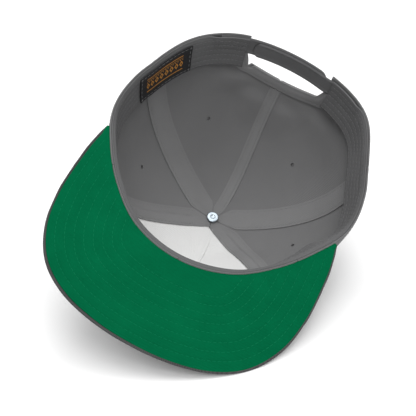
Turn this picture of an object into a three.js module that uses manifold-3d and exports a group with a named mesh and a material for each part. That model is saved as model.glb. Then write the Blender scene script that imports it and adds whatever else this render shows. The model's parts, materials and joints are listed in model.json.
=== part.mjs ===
// A flat bill cap with a snap strap at the back, put down upside down: it lies on a corner of its bill and on
// the cloth of its crown, tipped forward and leaning to one side. Millimetres, +Z up, and the origin lies under
// the middle of the whole cap, on the surface that it rests on.
//
// The cap is worked out as it is worn, and laid down at the end. Worn, +X is the wearer's left, +Y the back and
// +Z up, and a place on the crown is given by a turn (degrees round the head from the front, positive to the
// left), a rise (0 at the rim, 1 at the top) and a depth (millimetres inward from the outer face of the cloth).
// A height written "up" is measured along the cloth from the rim.

import * as THREE from 'three';
import { mergeVertices } from 'three/addons/utils/BufferGeometryUtils.js';
import Module from 'manifold-3d';

// Rim of the crown: distance from the middle of the head on each side, at each turn from the front.
const RIM = [
  { turn: 0, left: 95.2, right: 95.2 },
  { turn: 20, left: 93.2, right: 92.8 },
  { turn: 40, left: 87.8, right: 87.3 },
  { turn: 60, left: 85.9, right: 85.4 },
  { turn: 80, left: 88.5, right: 88.6 },
  { turn: 100, left: 88.6, right: 88.5 },
  { turn: 120, left: 88.8, right: 89.1 },
  { turn: 140, left: 93.0, right: 96.5 },
  { turn: 160, left: 99.0, right: 99.6 },
  { turn: 180, left: 100.4, right: 100.4 },
];
const RIM_STEP = 20;
const RIM_DIP = 6.4;
const RIM_LEVEL_FROM = 30;
const RIM_LEVEL_TO = 105.5;
const RIM_FOLLOWS_BILL_TO = 55;

// Crown: its top, and how full its shoulders are (2 is an ellipse, more is squarer).
const TOP = { x: 0, y: 2.7, z: 95 };
const SWELL = 2.3;
const TOP_HOLE_RISE = 0.986;
const SEAM_GAP = 0.15;

// Turn of each seam at the rim, half way up and at the top.
const SEAMS = {
  back_right: { rim: -114, half: -115.8, top: -120.5 },
  front_right: { rim: -50, half: -55.5, top: -69.5 },
  front: { rim: 0, half: -3.5, top: -12 },
  front_left: { rim: 50, half: 55.2, top: 65.5 },
  back_left: { rim: 113.5, half: 118.8, top: 124.5 },
  back: { rim: 180, half: 178.5, top: 186 },
};

// Layers of the crown: depth of each one's outer and inner face.
const CLOTH = { outer: 0, inner: 1.2 };
const BUCKRAM = { outer: 1.6, inner: 2.6, foot: 12, topRise: 0.965 };
const SIDE_TAPE = { outer: 1.6, thick: 0.9, half: 8.3, foot: 21 };
const OVER_BUCKRAM = 3.05;
const FRONT_TAPE = { outer: 3.1, thick: 0.8, half: 3.8, foot: 21, topRise: 0.952 };
const BACK_TAPE = { outer: 1.6, thick: 0.9, half: 4, foot: 38.2 };
const CLOTH_LENGTH = 146;

// The tapes stay clear of each other near the top. Past the end of the front tape its neighbours are wide
// enough to meet over the front seam.
const TAPE_TOP_RISE = 0.982;
const TAPE_CLEAR = 0.25;
const TAPE_MEETING = { fromRise: 0.955, toRise: 0.959, wider: 6 };

const EYELET = { radius: 1.8, sides: 10 };
const EYELETS = [
  { panel: 'front_left_panel', turn: 30, up: 78 },
  { panel: 'front_right_panel', turn: -30, up: 78 },
  { panel: 'side_left_panel', turn: 90.5, up: 78.7 },
  { panel: 'side_right_panel', turn: -91.3, up: 79.5 },
  { panel: 'back_left_panel', turn: 148.4, up: 76.6 },
  { panel: 'back_right_panel', turn: 208.6, up: 81.3 },
];

// Sweatband: it stands off the cloth a little more at its deep edge, and over the strap's ends.
const SWEATBAND = {
  endTurn: 157, foot: 2.2, height: 26, outer: 1.8, lean: 3, thick: 1.5, columns: 50, rows: 3,
};
const OVER_STRAP = { depth: 3.3, easeTurn: 136, strapTurn: 145 };
const LABEL = { from: 101.5, to: 131.5, foot: 3.2, height: 22, clear: 0.3, thick: 0.6, columns: 5, rows: 2 };

// Arch over the strap: its height at the middle and at the sides, and the hem band round it.
const ARCH = { half: 20, flat: 16, middleUp: 29.5, sideUp: 25, cornerUp: 23.5, cornerHalf: 18.7 };
const HEM = { outer: 1.8, thick: 0.8, width: 7.7, widen: 1.07 };
const HEM_CORNER = [
  { offEdge: 20, upEdge: 16, offOut: 24.5, upOut: 16 },
  { offEdge: 20, upEdge: 23.5, offOut: 24.5, upOut: 26.5 },
  { offEdge: 18.7, upEdge: 25, offOut: 21.8, upOut: 31 },
];

// Strap: two halves, one over the other, joined by pegs through holes.
const STRAP = {
  foot: 0.3, head: 14.8, thick: 1, outer: 1.8, clear: 0.3, roundEnd: 7.2, bluntEnd: 0.8, columns: 12, rows: 2,
};
const SOCKET_SIDE = { from: 146, to: 195 };
const SNAP_SIDE = { from: 162.5, to: 214, easeFrom: 196, easeTo: 202.5 };
const PEG = {
  count: 7, firstTurn: 167, stepTurn: 4.1, radius: 2.2, clear: 0.4, reach: 0.8, rootDeep: 0.4, sides: 10,
};

// Turns from a round end of the strap to the columns that shape it.
const END_STEPS = [0, 0.6, 1.6, 3.2, 4.8];
const END_SPAN = 6;

// Bill: distance of its edge from the middle of the head, at equal steps of turn from the front to its end. The
// board and the cloth under it stand in from that edge, by no more than a share of the bill's width.
const BILL_REACH = [158.3, 158.2, 156.6, 151.1, 139.3, 123.3, 108.6, 97.8, 88.8];
const BILL_END_TURN = 70.7;
const BILL = { pitch: 3, pitchFrom: 30, dish: 6, dishHalf: 85, gapToCrown: 0.3, mostInset: 0.4 };
const BOARD = { from: 1.2, to: 3.2, inset: 0, farInset: 1.3, endTurn: BILL_END_TURN, columns: 30 };
const UNDER_CLOTH = { from: 0, to: 0.9, inset: 0.8, farInset: 0.8, endTurn: 70.5, columns: 30 };
const BILL_ROWS = 4;

const BUTTON = { radius: 8, height: 5, side: 1.6, gap: 0.4, edge: 1, domeSteps: 4, segments: 20 };
const RIVET = { radius: 4.6, depth: 4.2, thick: 1.2, bevel: 0.5, dimple: 1.4, dimpleDeep: 0.5, shank: 1.6 };

// Lie: tipped over its front, leant to its side and turned so that its front points along -Y.
const LIE = { tip: 152.31, lean: -23.32 };
const PRESS_SOFTNESS = 1.5;

const DEGREE = Math.PI / 180;
const NEARBY = 1e-3;
const UP_STEP = 0.004;
const EDGE_STEPS = 120;
const SAME_POINT = 1e-4;
const CUT_BEYOND = 3;

const lerp = THREE.MathUtils.lerp;
const clamp = THREE.MathUtils.clamp;
const smooth = (value, from, to) => THREE.MathUtils.smoothstep(value, from, to);

// Evenly spaced values, with both ends.
function spread(count, from = 0, to = 1) {
  return Array.from({ length: count + 1 }, (_, i) => lerp(from, to, i / count));
}

// A smooth value through even steps: a, b, c and d are four in a row, and share runs from b to c.
function between(a, b, c, d, share) {
  const bend = 2 * a - 5 * b + 4 * c - d + share * (3 * (b - c) + d - a);
  return b + 0.5 * share * (c - a + share * bend);
}

const RIM_ROUND = [
  ...RIM.slice(1).reverse().map((row) => row.right),
  ...RIM.slice(0, -1).map((row) => row.left),
];

function rimRadius(turn) {
  const steps = (turn + 180) / RIM_STEP;
  const first = Math.floor(steps);
  const count = RIM_ROUND.length;
  const [a, b, c, d] = [-1, 0, 1, 2].map((shift) => RIM_ROUND[(((first + shift) % count) + count) % count]);
  return between(a, b, c, d, steps - first);
}

// Face of the bill that looks down when the cap is worn; it arches from side to side.
function billHeight(x, y) {
  return Math.tan(BILL.pitch * DEGREE) * (BILL.pitchFrom - y) + BILL.dish * ((x / BILL.dishHalf) ** 2 - 1);
}

function rimPoint(turn) {
  const radius = rimRadius(turn);
  const x = radius * Math.sin(turn * DEGREE);
  const y = -radius * Math.cos(turn * DEGREE);
  const share = clamp((y - RIM_LEVEL_FROM) / (RIM_LEVEL_TO - RIM_LEVEL_FROM), 0, 1);
  const level = share * share * (3 - 2 * share);
  const atBill = billHeight(x, Math.min(y, RIM_FOLLOWS_BILL_TO)) * (1 - level);
  return new THREE.Vector3(x, y, atBill - RIM_DIP * Math.sin(Math.PI * share));
}

// Outer face of the crown before it is laid down.
function freeCrown(turn, rise) {
  const rim = rimPoint(turn);
  const angle = (rise * Math.PI) / 2;
  const across = Math.max(Math.cos(angle), 0) ** (2 / SWELL);
  const along = Math.max(Math.sin(angle), 0) ** (2 / SWELL);
  return new THREE.Vector3(lerp(TOP.x, rim.x, across), lerp(TOP.y, rim.y, across), lerp(rim.z, TOP.z, along));
}

function billEdge(turn, inset) {
  const steps = (Math.abs(turn) / BILL_END_TURN) * (BILL_REACH.length - 1);
  const first = clamp(Math.floor(steps), 0, BILL_REACH.length - 2);
  const [a, b, c] = [Math.abs(first - 1), first, first + 1].map((row) => BILL_REACH[row]);
  const d = first + 2 < BILL_REACH.length ? BILL_REACH[first + 2] : 2 * c - b;
  return between(a, b, c, d, steps - first) - inset;
}

function billPoint(turn, reach, above) {
  const x = reach * Math.sin(turn * DEGREE);
  const y = -reach * Math.cos(turn * DEGREE);
  return new THREE.Vector3(x, y, billHeight(x, y) + above);
}

// The way up of the surface that the cap lies on, seen from the worn cap, and the level of that surface: the
// lowest place on the bill.
const LIE_TURN = new THREE.Matrix4().makeRotationY(LIE.lean * DEGREE)
  .multiply(new THREE.Matrix4().makeRotationX(LIE.tip * DEGREE));
const UP = new THREE.Vector3(0, 0, 1).transformDirection(LIE_TURN.clone().transpose());
const FLOOR = Math.min(...spread(EDGE_STEPS, -BILL_END_TURN, BILL_END_TURN)
  .flatMap((turn) => [[BOARD.inset, BOARD.from], [BOARD.farInset, BOARD.to]]
    .map(([inset, above]) => billPoint(turn, billEdge(turn, inset), above).dot(UP))));

// A place on the crown. Where it would sink into the surface it is pressed up, with the layers over it.
function crownPoint(turn, rise, depth) {
  const point = freeCrown(turn, rise);
  const aside = freeCrown(turn + NEARBY / DEGREE, rise).sub(freeCrown(turn - NEARBY / DEGREE, rise));
  const upward = freeCrown(turn, rise + NEARBY).sub(freeCrown(turn, rise - NEARBY));
  const outward = aside.cross(upward).normalize();
  const sunk = FLOOR - point.dot(UP);
  const pressed = (sunk + Math.hypot(sunk, PRESS_SOFTNESS)) / 2;
  return point.addScaledVector(UP, pressed).addScaledVector(outward, -depth);
}

// Rise of the place that lies some millimetres up the cloth from the rim.
function riseAt(turn, up) {
  let rise = 0;
  let walked = 0;
  let last = freeCrown(turn, 0);
  while (walked < up) {
    const next = freeCrown(turn, rise + UP_STEP);
    const step = next.distanceTo(last);
    rise += UP_STEP * Math.min(1, (up - walked) / step);
    walked += step;
    last = next;
  }
  return rise;
}

function ringRadius(turn, rise) {
  const point = freeCrown(turn, rise);
  return Math.hypot(point.x - TOP.x, point.y - TOP.y);
}

const turnOf = (millimetres, turn, rise) => millimetres / ringRadius(turn, rise) / DEGREE;

function seamTurn(seam, rise) {
  const { rim, half, top } = SEAMS[seam];
  const bend = 2 * (rim + top - 2 * half);
  return rim + (top - rim - bend) * rise + bend * rise * rise;
}

// A closed wall between two grids of points, outer and inner, both as grid[column][row].
function wallBetween(outer, inner) {
  const columns = outer.length;
  const rows = outer[0].length;
  const points = [...outer.flat(), ...inner.flat()];
  const at = (side, column, row) => side * columns * rows + column * rows + row;
  const index = [];
  const quad = (a, b, c, d) => index.push(a, b, c, a, c, d);
  const lastRow = rows - 1;
  const lastColumn = columns - 1;
  for (let i = 0; i < lastColumn; i++) {
    for (let j = 0; j < lastRow; j++) {
      quad(at(0, i, j), at(0, i + 1, j), at(0, i + 1, j + 1), at(0, i, j + 1));
      quad(at(1, i, j), at(1, i, j + 1), at(1, i + 1, j + 1), at(1, i + 1, j));
    }
    quad(at(0, i, 0), at(1, i, 0), at(1, i + 1, 0), at(0, i + 1, 0));
    quad(at(0, i, lastRow), at(0, i + 1, lastRow), at(1, i + 1, lastRow), at(1, i, lastRow));
  }
  for (let j = 0; j < lastRow; j++) {
    quad(at(0, 0, j), at(0, 0, j + 1), at(1, 0, j + 1), at(1, 0, j));
    quad(at(0, lastColumn, j), at(1, lastColumn, j), at(1, lastColumn, j + 1), at(0, lastColumn, j + 1));
  }
  const geometry = new THREE.BufferGeometry().setFromPoints(points);
  geometry.setIndex(signedVolume(points, index) < 0 ? index.reverse() : index);
  return geometry;
}

function signedVolume(points, index) {
  let volume = 0;
  for (let k = 0; k < index.length; k += 3) {
    const [a, b, c] = [points[index[k]], points[index[k + 1]], points[index[k + 2]]];
    volume += a.dot(b.clone().cross(c)) / 6;
  }
  return volume;
}

// A wall that follows the crown: each place in the columns has its turn, its rise and the depths of its faces.
function crownWall(columns) {
  const face = (side) => columns.map((column) => column.map((place) => (
    crownPoint(place.turn, place.rise, place[side]))));
  return wallBetween(face('outer'), face('inner'));
}

// A band along the crown, at heights up from the rim that may change from column to column.
function bandWall(turns, rows, { foot, head, outer, inner }) {
  return crownWall(turns.map((turn) => rows.map((share) => {
    const up = lerp(foot(turn), head(turn), share);
    return { turn, rise: riseAt(turn, up), outer: outer(turn, up), inner: inner(turn, up) };
  })));
}

const wasm = await Module();
wasm.setup();

function toSolid(geometry) {
  const bare = geometry.clone();
  bare.deleteAttribute('normal');
  bare.deleteAttribute('uv');
  const merged = mergeVertices(bare, SAME_POINT);
  return new wasm.Manifold(new wasm.Mesh({
    numProp: 3,
    vertProperties: new Float32Array(merged.attributes.position.array),
    triVerts: new Uint32Array(merged.index.array),
  }));
}

function fromSolid(solid) {
  const { vertProperties, triVerts } = solid.getMesh();
  const geometry = new THREE.BufferGeometry();
  geometry.setAttribute('position', new THREE.BufferAttribute(new Float32Array(vertProperties), 3));
  geometry.setIndex(new THREE.BufferAttribute(new Uint32Array(triVerts), 1));
  return geometry;
}

// A round plug square to the cloth, between two depths.
function plugThrough(turn, up, radius, fromDepth, toDepth, sides) {
  const rise = riseAt(turn, up);
  const start = crownPoint(turn, rise, fromDepth);
  const end = crownPoint(turn, rise, toDepth);
  const plug = new THREE.CylinderGeometry(radius, radius, start.distanceTo(end), sides);
  const axis = end.clone().sub(start).normalize();
  plug.applyQuaternion(new THREE.Quaternion().setFromUnitVectors(new THREE.Vector3(0, 1, 0), axis));
  plug.translate(...start.add(end).multiplyScalar(0.5).toArray());
  return toSolid(plug);
}

function piece(name, geometry, look) {
  geometry.computeVertexNormals();
  const mesh = new THREE.Mesh(geometry, new THREE.MeshStandardMaterial({ ...look, flatShading: true }));
  mesh.name = name;
  return mesh;
}

const LOOKS = {
  crownCloth: { color: 0x5a5a5e, roughness: 0.9, metalness: 0 },
  tapeCloth: { color: 0x4a4a4e, roughness: 0.85, metalness: 0 },
  whiteTape: { color: 0xd8d8d6, roughness: 0.85, metalness: 0 },
  buckram: { color: 0xdcdcd8, roughness: 0.95, metalness: 0 },
  bandCloth: { color: 0x505054, roughness: 0.9, metalness: 0 },
  label: { color: 0x23242c, roughness: 0.6, metalness: 0 },
  billCloth: { color: 0x6a6a6e, roughness: 0.9, metalness: 0 },
  greenCloth: { color: 0x036b44, roughness: 0.85, metalness: 0 },
  strapPlastic: { color: 0x3c3c40, roughness: 0.45, metalness: 0 },
  rivetMetal: { color: 0xc7d2da, roughness: 0.35, metalness: 0.8 },
};

// How far a place lies off the middle of the back, in degrees, and the height of the arch's edge there.
const offBack = (turn) => Math.abs(180 - turn);

function archUp(turn) {
  const off = offBack(turn);
  if (off > ARCH.cornerHalf) {
    return lerp(ARCH.sideUp, ARCH.cornerUp, (off - ARCH.cornerHalf) / (ARCH.half - ARCH.cornerHalf));
  }
  return ARCH.sideUp + (ARCH.middleUp - ARCH.sideUp) * Math.max(0, 1 - (off / ARCH.flat) ** 2);
}

const PANEL_ROWS = 16;
const LAYER_ROWS = 14;

// A wall between two seams, from a height up from the rim to a rise near the top.
function seamedWall({ from, to, columns, gap, foot, topRise, rows, outer, inner }) {
  const lap = SEAMS[to].rim < SEAMS[from].rim ? 360 : 0;
  return crownWall(spread(columns).map((share) => {
    const atRim = lerp(SEAMS[from].rim, SEAMS[to].rim + lap, share);
    return spread(rows, riseAt(atRim, foot), topRise).map((rise) => {
      const inset = turnOf(gap, atRim, rise);
      const turn = lerp(seamTurn(from, rise) + inset, seamTurn(to, rise) + lap - inset, share);
      return { turn, rise, outer, inner };
    });
  }));
}

// What the arch cuts out of the two back panels.
function archWindow() {
  const turns = [ARCH.half, ARCH.cornerHalf, ...spread(5, ARCH.flat, 0)];
  const across = [...turns.map((off) => 180 - off), ...turns.slice(0, -1).reverse().map((off) => 180 + off)];
  const face = (depth) => across.map((turn) => {
    const rim = crownPoint(turn, 0, depth);
    const below = rim.clone().setZ(rim.z - CUT_BEYOND);
    return [below, rim, crownPoint(turn, riseAt(turn, archUp(turn)), depth)];
  });
  return toSolid(wallBetween(face(-CUT_BEYOND), face(CLOTH.inner + CUT_BEYOND)));
}

const PANELS = [
  { name: 'front_left_panel', from: 'front', to: 'front_left', columns: 8 },
  { name: 'side_left_panel', from: 'front_left', to: 'back_left', columns: 9 },
  { name: 'back_left_panel', from: 'back_left', to: 'back', columns: 10 },
  { name: 'back_right_panel', from: 'back', to: 'back_right', columns: 10 },
  { name: 'side_right_panel', from: 'back_right', to: 'front_right', columns: 9 },
  { name: 'front_right_panel', from: 'front_right', to: 'front', columns: 8 },
];

function makePanel({ name, ...between }) {
  const whole = { gap: SEAM_GAP, foot: 0, topRise: TOP_HOLE_RISE, rows: PANEL_ROWS };
  const cloth = toSolid(seamedWall({ ...between, ...whole, ...CLOTH }));
  const { turn, up } = EYELETS.find((eyelet) => eyelet.panel === name);
  const eyelet = plugThrough(turn, up, EYELET.radius, -CUT_BEYOND, CLOTH.inner + CUT_BEYOND, EYELET.sides);
  const cuts = name.startsWith('back') ? [eyelet, archWindow()] : [eyelet];
  const open = cuts.reduce((left, cut) => left.subtract(cut), cloth);
  return piece(name, fromSolid(open), LOOKS.crownCloth);
}

const BUCKRAMS = [
  { name: 'buckram_left', from: 'front', to: 'front_left', columns: 8 },
  { name: 'buckram_right', from: 'front_right', to: 'front', columns: 8 },
];

function makeBuckram({ name, ...between }) {
  const lining = seamedWall({ ...between, ...BUCKRAM, gap: 2 * SEAM_GAP, rows: LAYER_ROWS });
  return piece(name, lining, LOOKS.buckram);
}

// A tape along a seam. Near the top, where the six meet, it keeps within its room before and after the seam, in
// degrees. Each of its three columns may lie deeper.
function tapeWall({ seam, half, thick, depths, room, meeting = room, foot, topRise }) {
  const lowRise = riseAt(seamTurn(seam, foot / CLOTH_LENGTH), foot);
  const { fromRise, toRise, wider } = TAPE_MEETING;
  const rises = topRise
    ? spread(LAYER_ROWS, lowRise, topRise)
    : [...spread(LAYER_ROWS - 2, lowRise, fromRise), toRise, TAPE_TOP_RISE];
  return crownWall([-1, 0, 1].map((side, column) => rises.map((rise) => {
    const middle = seamTurn(seam, rise);
    const end = side < 0 ? 0 : 1;
    const wide = rise >= toRise && meeting[end] > room[end];
    const widest = (wide ? meeting[end] : room[end]) - turnOf(TAPE_CLEAR, middle, rise);
    const turn = middle + side * Math.min(turnOf(wide ? half + wider : half, middle, rise), widest);
    return { turn, rise, outer: depths[column], inner: depths[column] + thick };
  })));
}

const shallow = SIDE_TAPE.outer;
const everywhere = (depth) => [depth, depth, depth];
const TAPES = [
  {
    name: 'seam_tape_front', seam: 'front', ...FRONT_TAPE,
    depths: everywhere(FRONT_TAPE.outer), room: [20, 24],
  },
  {
    name: 'seam_tape_front_left', seam: 'front_left', ...SIDE_TAPE,
    depths: [OVER_BUCKRAM, OVER_BUCKRAM, shallow], room: [50, 30], meeting: [76.5, 30],
  },
  {
    name: 'seam_tape_front_right', seam: 'front_right', ...SIDE_TAPE,
    depths: [shallow, OVER_BUCKRAM, OVER_BUCKRAM], room: [24, 34], meeting: [24, 56.5],
  },
  {
    name: 'seam_tape_back_left', seam: 'back_left', ...SIDE_TAPE,
    depths: everywhere(shallow), room: [27, 36],
  },
  {
    name: 'seam_tape_back_right', seam: 'back_right', ...SIDE_TAPE,
    depths: everywhere(shallow), room: [30, 25],
  },
  {
    name: 'seam_tape_back', seam: 'back', ...BACK_TAPE,
    depths: everywhere(BACK_TAPE.outer), room: [22, 20],
  },
];

function makeTape({ name, ...tape }) {
  return piece(name, tapeWall(tape), name === 'seam_tape_front' ? LOOKS.whiteTape : LOOKS.tapeCloth);
}

// Hem band round the arch, from one side of the strap over the top to the other.
function makeHem() {
  const { outer, thick, width, widen } = HEM;
  const corner = HEM_CORNER.map(({ offEdge, upEdge, offOut, upOut }) => ({
    edge: { off: offEdge, up: upEdge },
    out: { off: offOut, up: upOut },
  }));
  const over = spread(5, ARCH.flat, 0).map((off) => ({
    edge: { off, up: archUp(180 - off) },
    out: { off: off * widen, up: archUp(180 - off) + width },
  }));
  const half = [...corner, ...over];
  const turned = (column, side) => [column.edge, column.out].map(({ off, up }) => {
    const turn = 180 + side * off;
    return { turn, rise: riseAt(turn, up), outer, inner: outer + thick };
  });
  const before = half.map((column) => turned(column, -1));
  const after = half.slice(0, -1).reverse().map((column) => turned(column, 1));
  return piece('arch_binding', crownWall([...before, ...after]), LOOKS.tapeCloth);
}

function sweatbandDepth(turn, up) {
  const leaning = SWEATBAND.outer + (SWEATBAND.lean * up) / SWEATBAND.height;
  const { depth, easeTurn, strapTurn } = OVER_STRAP;
  return Math.max(leaning, smooth(Math.abs(turn), easeTurn, strapTurn) * depth);
}

function makeSweatband() {
  const { endTurn, foot, height, thick, columns, rows } = SWEATBAND;
  return piece('sweatband', bandWall(spread(columns, -endTurn, endTurn), spread(rows), {
    foot: () => foot,
    head: () => height,
    outer: sweatbandDepth,
    inner: (turn, up) => sweatbandDepth(turn, up) + thick,
  }), LOOKS.bandCloth);
}

function makeLabel() {
  const { from, to, foot, height, clear, thick, columns, rows } = LABEL;
  const back = (turn, up) => sweatbandDepth(turn, up) + SWEATBAND.thick + clear;
  return piece('label', bandWall(spread(columns, from, to), spread(rows), {
    foot: () => foot,
    head: () => foot + height,
    outer: back,
    inner: (turn, up) => back(turn, up) + thick,
  }), LOOKS.label);
}

// Half height of the strap at some millimetres from a free end, which is round.
function strapHalf(fromEnd) {
  const { head, foot, roundEnd, bluntEnd } = STRAP;
  const near = clamp(fromEnd, bluntEnd, roundEnd);
  return Math.min((head - foot) / 2, Math.sqrt(roundEnd ** 2 - (roundEnd - near) ** 2));
}

function strapWall(turns, freeTurn, outer) {
  const middle = (STRAP.foot + STRAP.head) / 2;
  const half = (turn) => strapHalf(Math.abs(turn - freeTurn) * DEGREE * rimRadius(turn));
  return bandWall(turns, spread(STRAP.rows), {
    foot: (turn) => middle - half(turn),
    head: (turn) => middle + half(turn),
    outer,
    inner: (turn) => outer(turn) + STRAP.thick,
  });
}

const PEG_TURNS = Array.from({ length: PEG.count }, (_, i) => PEG.firstTurn + i * PEG.stepTurn);
const PEG_UP = (STRAP.foot + STRAP.head) / 2;

function makeSocketSide() {
  const { from, to } = SOCKET_SIDE;
  const roundEnd = END_STEPS.slice().reverse().map((step) => to - step);
  const turns = [...spread(STRAP.columns, from, to - END_SPAN), ...roundEnd];
  const plain = toSolid(strapWall(turns, to, () => STRAP.outer));
  const radius = PEG.radius + PEG.clear;
  const deep = STRAP.outer + STRAP.thick + CUT_BEYOND;
  const holes = PEG_TURNS.map((turn) => plugThrough(turn, PEG_UP, radius, -CUT_BEYOND, deep, PEG.sides));
  const strap = holes.reduce((left, hole) => left.subtract(hole), plain);
  return piece('strap_socket_side', fromSolid(strap), LOOKS.strapPlastic);
}

function makeSnapSide() {
  const { from, to, easeFrom, easeTo } = SNAP_SIDE;
  const inside = STRAP.outer + STRAP.thick + STRAP.clear;
  const depth = (turn) => lerp(inside, STRAP.outer, smooth(turn, easeFrom, easeTo));
  const turns = [...END_STEPS.map((step) => from + step), ...spread(STRAP.columns, from + END_SPAN, to)];
  const plain = toSolid(strapWall(turns, from, depth));
  const head = STRAP.outer - PEG.reach;
  const root = inside + PEG.rootDeep;
  const pegs = PEG_TURNS.map((turn) => plugThrough(turn, PEG_UP, PEG.radius, head, root, PEG.sides));
  const strap = pegs.reduce((left, peg) => left.add(peg), plain);
  return piece('strap_snap_side', fromSolid(strap), LOOKS.strapPlastic);
}

function billWall({ from, to, inset, farInset, endTurn, columns }) {
  const start = (turn) => rimRadius(turn) + BILL.gapToCrown;
  const end = (turn, most) => {
    const width = billEdge(turn, 0) - start(turn);
    return billEdge(turn, Math.min(most, BILL.mostInset * width));
  };
  const face = (above, edge) => spread(columns, -endTurn, endTurn).map((turn) => (
    spread(BILL_ROWS, start(turn), end(turn, edge)).map((reach) => billPoint(turn, reach, above))));
  return wallBetween(face(to, farInset), face(from, inset));
}

// A round piece about the crown's own axis, from a profile of radius and height with both its ends on the axis.
function turnedPiece(profile, segments) {
  const points = profile.map(([radius, height]) => new THREE.Vector2(radius, height));
  const geometry = new THREE.LatheGeometry(points, segments);
  geometry.rotateX(90 * DEGREE);
  return fromSolid(toSolid(geometry));
}

function makeButton() {
  const { radius, height, side, gap, edge, domeSteps, segments } = BUTTON;
  const dome = spread(domeSteps, 0, 90).map((angle) => [
    radius * Math.cos(angle * DEGREE),
    gap + side + (height - side) * Math.sin(angle * DEGREE),
  ]);
  const profile = [[0, gap], [radius - edge, gap], ...dome.slice(0, -1), [0, gap + height]];
  const button = piece('top_button', turnedPiece(profile, segments), LOOKS.crownCloth);
  button.position.set(TOP.x, TOP.y, TOP.z);
  return button;
}

function makeRivet() {
  const { radius, depth, thick, bevel, dimple, dimpleDeep, shank } = RIVET;
  const back = -depth;
  const face = back - thick;
  const profile = [
    [0, face + dimpleDeep], [dimple, face + dimpleDeep], [dimple + bevel, face], [radius - bevel, face],
    [radius, face + bevel], [radius, back], [shank, back], [shank, 0], [0, 0],
  ];
  const rivet = piece('button_rivet', turnedPiece(profile, BUTTON.segments), LOOKS.rivetMetal);
  rivet.position.set(TOP.x, TOP.y, TOP.z);
  return rivet;
}

const crown = new THREE.Group();
crown.name = 'crown';
crown.add(...PANELS.map(makePanel), ...BUCKRAMS.map(makeBuckram), ...TAPES.map(makeTape));
crown.add(makeHem(), makeSweatband(), makeLabel(), makeButton(), makeRivet());

const bill = new THREE.Group();
bill.name = 'bill';
bill.add(piece('bill_board', billWall(BOARD), LOOKS.billCloth));
bill.add(piece('bill_under_cloth', billWall(UNDER_CLOTH), LOOKS.greenCloth));

const closure = new THREE.Group();
closure.name = 'closure';
closure.add(makeSocketSide(), makeSnapSide());

// The worn cap, tipped over, leant, turned to face -Y and set down over the origin.
const worn = new THREE.Group();
worn.add(crown, bill, closure);
worn.rotation.x = LIE.tip * DEGREE;

const leant = new THREE.Group();
leant.add(worn);
leant.rotation.y = LIE.lean * DEGREE;

const cap = new THREE.Group();
cap.name = 'flat_bill_cap';
cap.add(leant);
const front = new THREE.Vector3(0, -1, 0).transformDirection(LIE_TURN);
cap.rotation.z = Math.atan2(-1, 0) - Math.atan2(front.y, front.x);
cap.updateMatrixWorld(true);
const reach = new THREE.Box3().setFromObject(cap, true);
const middle = reach.getCenter(new THREE.Vector3());
cap.position.set(-middle.x, -middle.y, -reach.min.z);

export default cap;
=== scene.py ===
"""A flat bill cap with a snap strap, put down upside down on a pale floor.

The cap is worked out as it is worn, in millimetres: +X is the wearer's left, +Y the back and +Z up. A place
on the crown has a turn (degrees round the head from the front, positive to the left), a rise (0 at the rim, 1
at the top) and a depth (millimetres inward from the outer face of the cloth). "Up" is a height along the cloth
from the rim. place() lays the worn cap down where the CAD has it, in metres.
"""
import json
import math

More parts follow.
